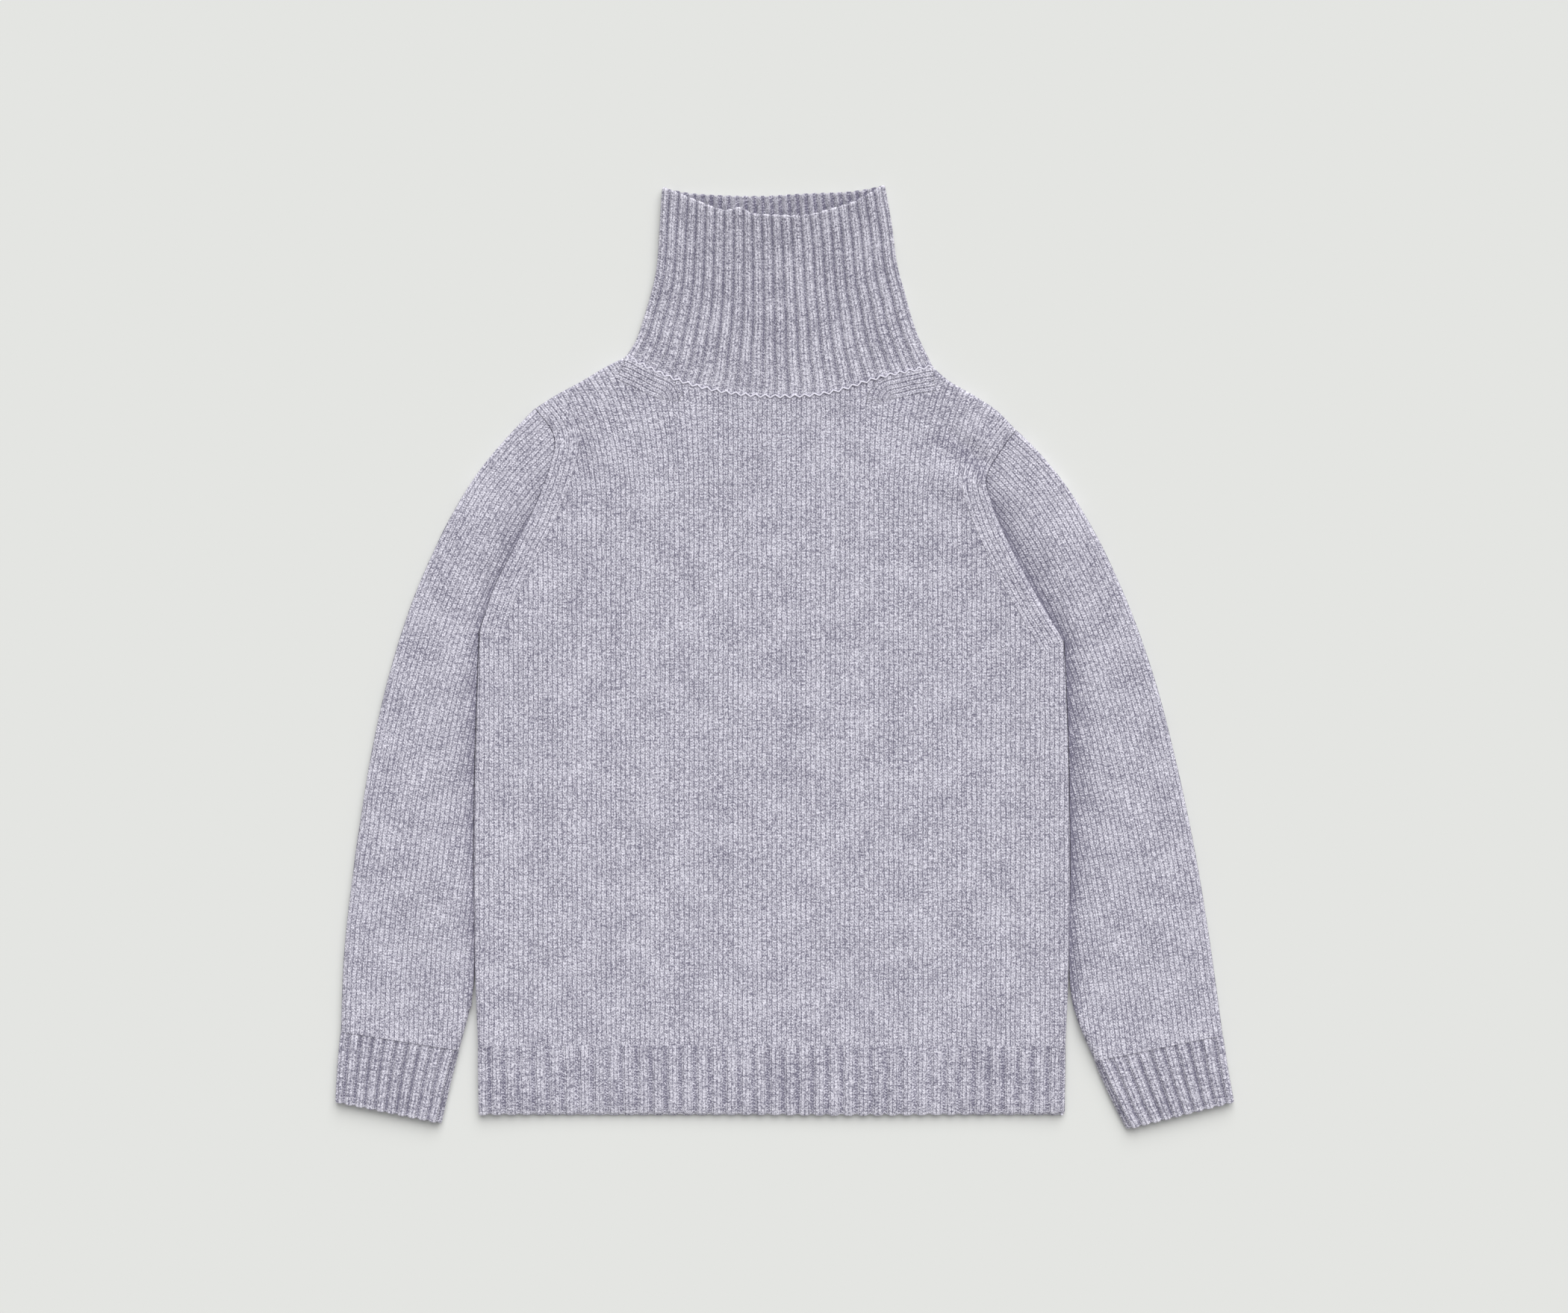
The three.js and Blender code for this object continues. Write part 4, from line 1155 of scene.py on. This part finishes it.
def wool(name, is_rib, tone):
    """A knitted finish. tone is the share of pale fibre."""
    material, shader = yarn(name)
    wale, shade = layer("knit"), layer("shade")
    course = wale.output("Y")
    if not is_rib:
        seam = layer("band")
        in_band = seam.math("LESS_THAN", BAND_WALES)
        past = seam - BAND_WALES
        rhythm = (seam.output("Y") * (TURN / MARK_COURSES)).math("SINE")
        marks = step_up(past, 0.0, 0.2) * (1 - step_up(past, 1.0, 1.2)) * step_up(rhythm, 0.2, 0.8)
        wale, course = mixed(in_band, wale, seam), mixed(in_band, course, seam.output("Y"))
    wale = wale + (noise(wale * 0.21, course * 0.11, 3.0) - 0.5) * WALE_WANDER
    course = course + (noise(wale * 0.4 + 31.0, course * 0.1) - 0.5) * COURSE_WANDER
    height = knit_stitch(wale, course)
    if is_rib:
        is_knit = step_up((wale * (TURN / RIB_WALES)).math("SINE"), -0.85, -0.3)
        height = mixed(is_knit, purl_stitch(wale, course) * PURL_DEPTH, height)
    grain = RIB_GRAIN if is_rib else 1.0
    fleck = noise(wale * (3.4 * grain), course * 1.7, 3.0, 0.7) - 0.5
    streak = noise(wale * (0.9 * grain) + 7.0, course * 0.75, 3.0, 0.6) - 0.5
    cloud = noise(wale * (0.14 * grain) + 3.0, course * 0.1) - 0.5
    # painted shade: the hollows between stitches are darker, and the shade layer adds painted shade in
    # grooves and creases and painted highlights on rims
    hollow = (height - 0.45) * (HOLLOW + streak * HOLLOW_STREAK)
    pale = tone + fleck * FLECK + streak * STREAK + cloud * CLOUD + hollow - shade.output("Y")
    pale = pale - ((1 - is_knit) * shade if is_rib else marks * MARK)
    fuzz = noise(wale * 5.0, course * 3.0)
    inputs = {"Strength": 1.0, "Distance": BUMP_DEPTH, "Height": height + fuzz * FUZZ}
    fibre(pale).into(shader.inputs["Base Color"])
    Signal.node("Bump", {}, inputs).into(shader.inputs["Normal"])
    shader.inputs["Sheen Weight"].default_value = 0.12
    shader.inputs["Sheen Roughness"].default_value = 0.6
    print(name, "uses", len(material.node_tree.nodes), "nodes")
    return material


plain_wool = wool("plain_wool", False, 0.388)
rib_wool = wool("rib_wool", True, 0.447)

# %% [markdown]
# ## The chain's yarn
# The chain is the same yarn without stitches, so only its flecks show. One plain colour would look like
# plastic; a noise in space mixes the two colours of fibre.

# %% Chain yarn
CHAIN_GRAIN = 900.0  # flecks per metre
CHAIN_TONE = 0.45
CHAIN_FLECK = 0.8

chain_yarn, chain_shader = yarn("chain_yarn")
place = Signal.node("SeparateXYZ", {}, {0: Signal.node("TexCoord", {}, {}, "Object")})
chain_fleck = noise(place * CHAIN_GRAIN, place.output("Y") * CHAIN_GRAIN)
fibre(chain_fleck * CHAIN_FLECK + CHAIN_TONE).into(chain_shader.inputs["Base Color"])

# %% [markdown]
# ## Joining the frame
# Every piece takes its finish, stands for its CAD node, which is hidden, and rides on the frame's only
# body. The table also lists the size of its cut; a tube's cut counts both layers. The chain rides on the
# same body as the collar. One table and one loop do it all.

# %% Pieces and their cuts
def plan_area(plan):
    """Area of a grid, in square millimetres."""
    a, b = plan[1:, 1:] - plan[:-1, :-1], plan[1:, :-1] - plan[:-1, 1:]
    return abs(a[..., 0] * b[..., 1] - a[..., 1] * b[..., 0]).sum() / 2


FINISHES = {"plain_knit": plain_wool, "rib_knit": rib_wool}
PIECES = [
    # piece, CAD node, slot, flat width and length in mm, area in square mm, what it lies on
    (back_panel, "back_panel", "plain_knit", (521, 594), plan_area(back_plan), "table_top"),
    (front_panel, "front_panel", "plain_knit", (521, 594), plan_area(front_plan), "back_body"),
    (back_hem, "back_hem_rib", "rib_knit", (510, 59), None, "table_top"),
    (front_hem, "front_hem_rib", "rib_knit", (510, 59), None, "back_hem"),
    (right_arm, "right_sleeve", "plain_knit", (330, 600), 2 * plan_area(right_arm_plan), "table_top"),
    (left_arm, "left_sleeve", "plain_knit", (330, 600), 2 * plan_area(left_arm_plan), "table_top"),
    (right_wrist, "right_cuff", "rib_knit", (205, 62), None, "table_top"),
    (left_wrist, "left_cuff", "rib_knit", (210, 60), None, "table_top"),
    (roll_collar, "collar", "rib_knit", (460, 150), None, "table_top"),
]
linking_chain.data.materials.append(chain_yarn)
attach(linking_chain, "root")
for piece, node, slot, flat, area, rests_on in PIECES:
    piece.data.materials.append(FINISHES[slot])
    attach(piece, "root")
    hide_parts(node)
    flat[0] * MM
    flat[1] * MM
    None if area is None else area * MM**2
    print(piece.name, "plan area", None if area is None else round(area), "mm2")
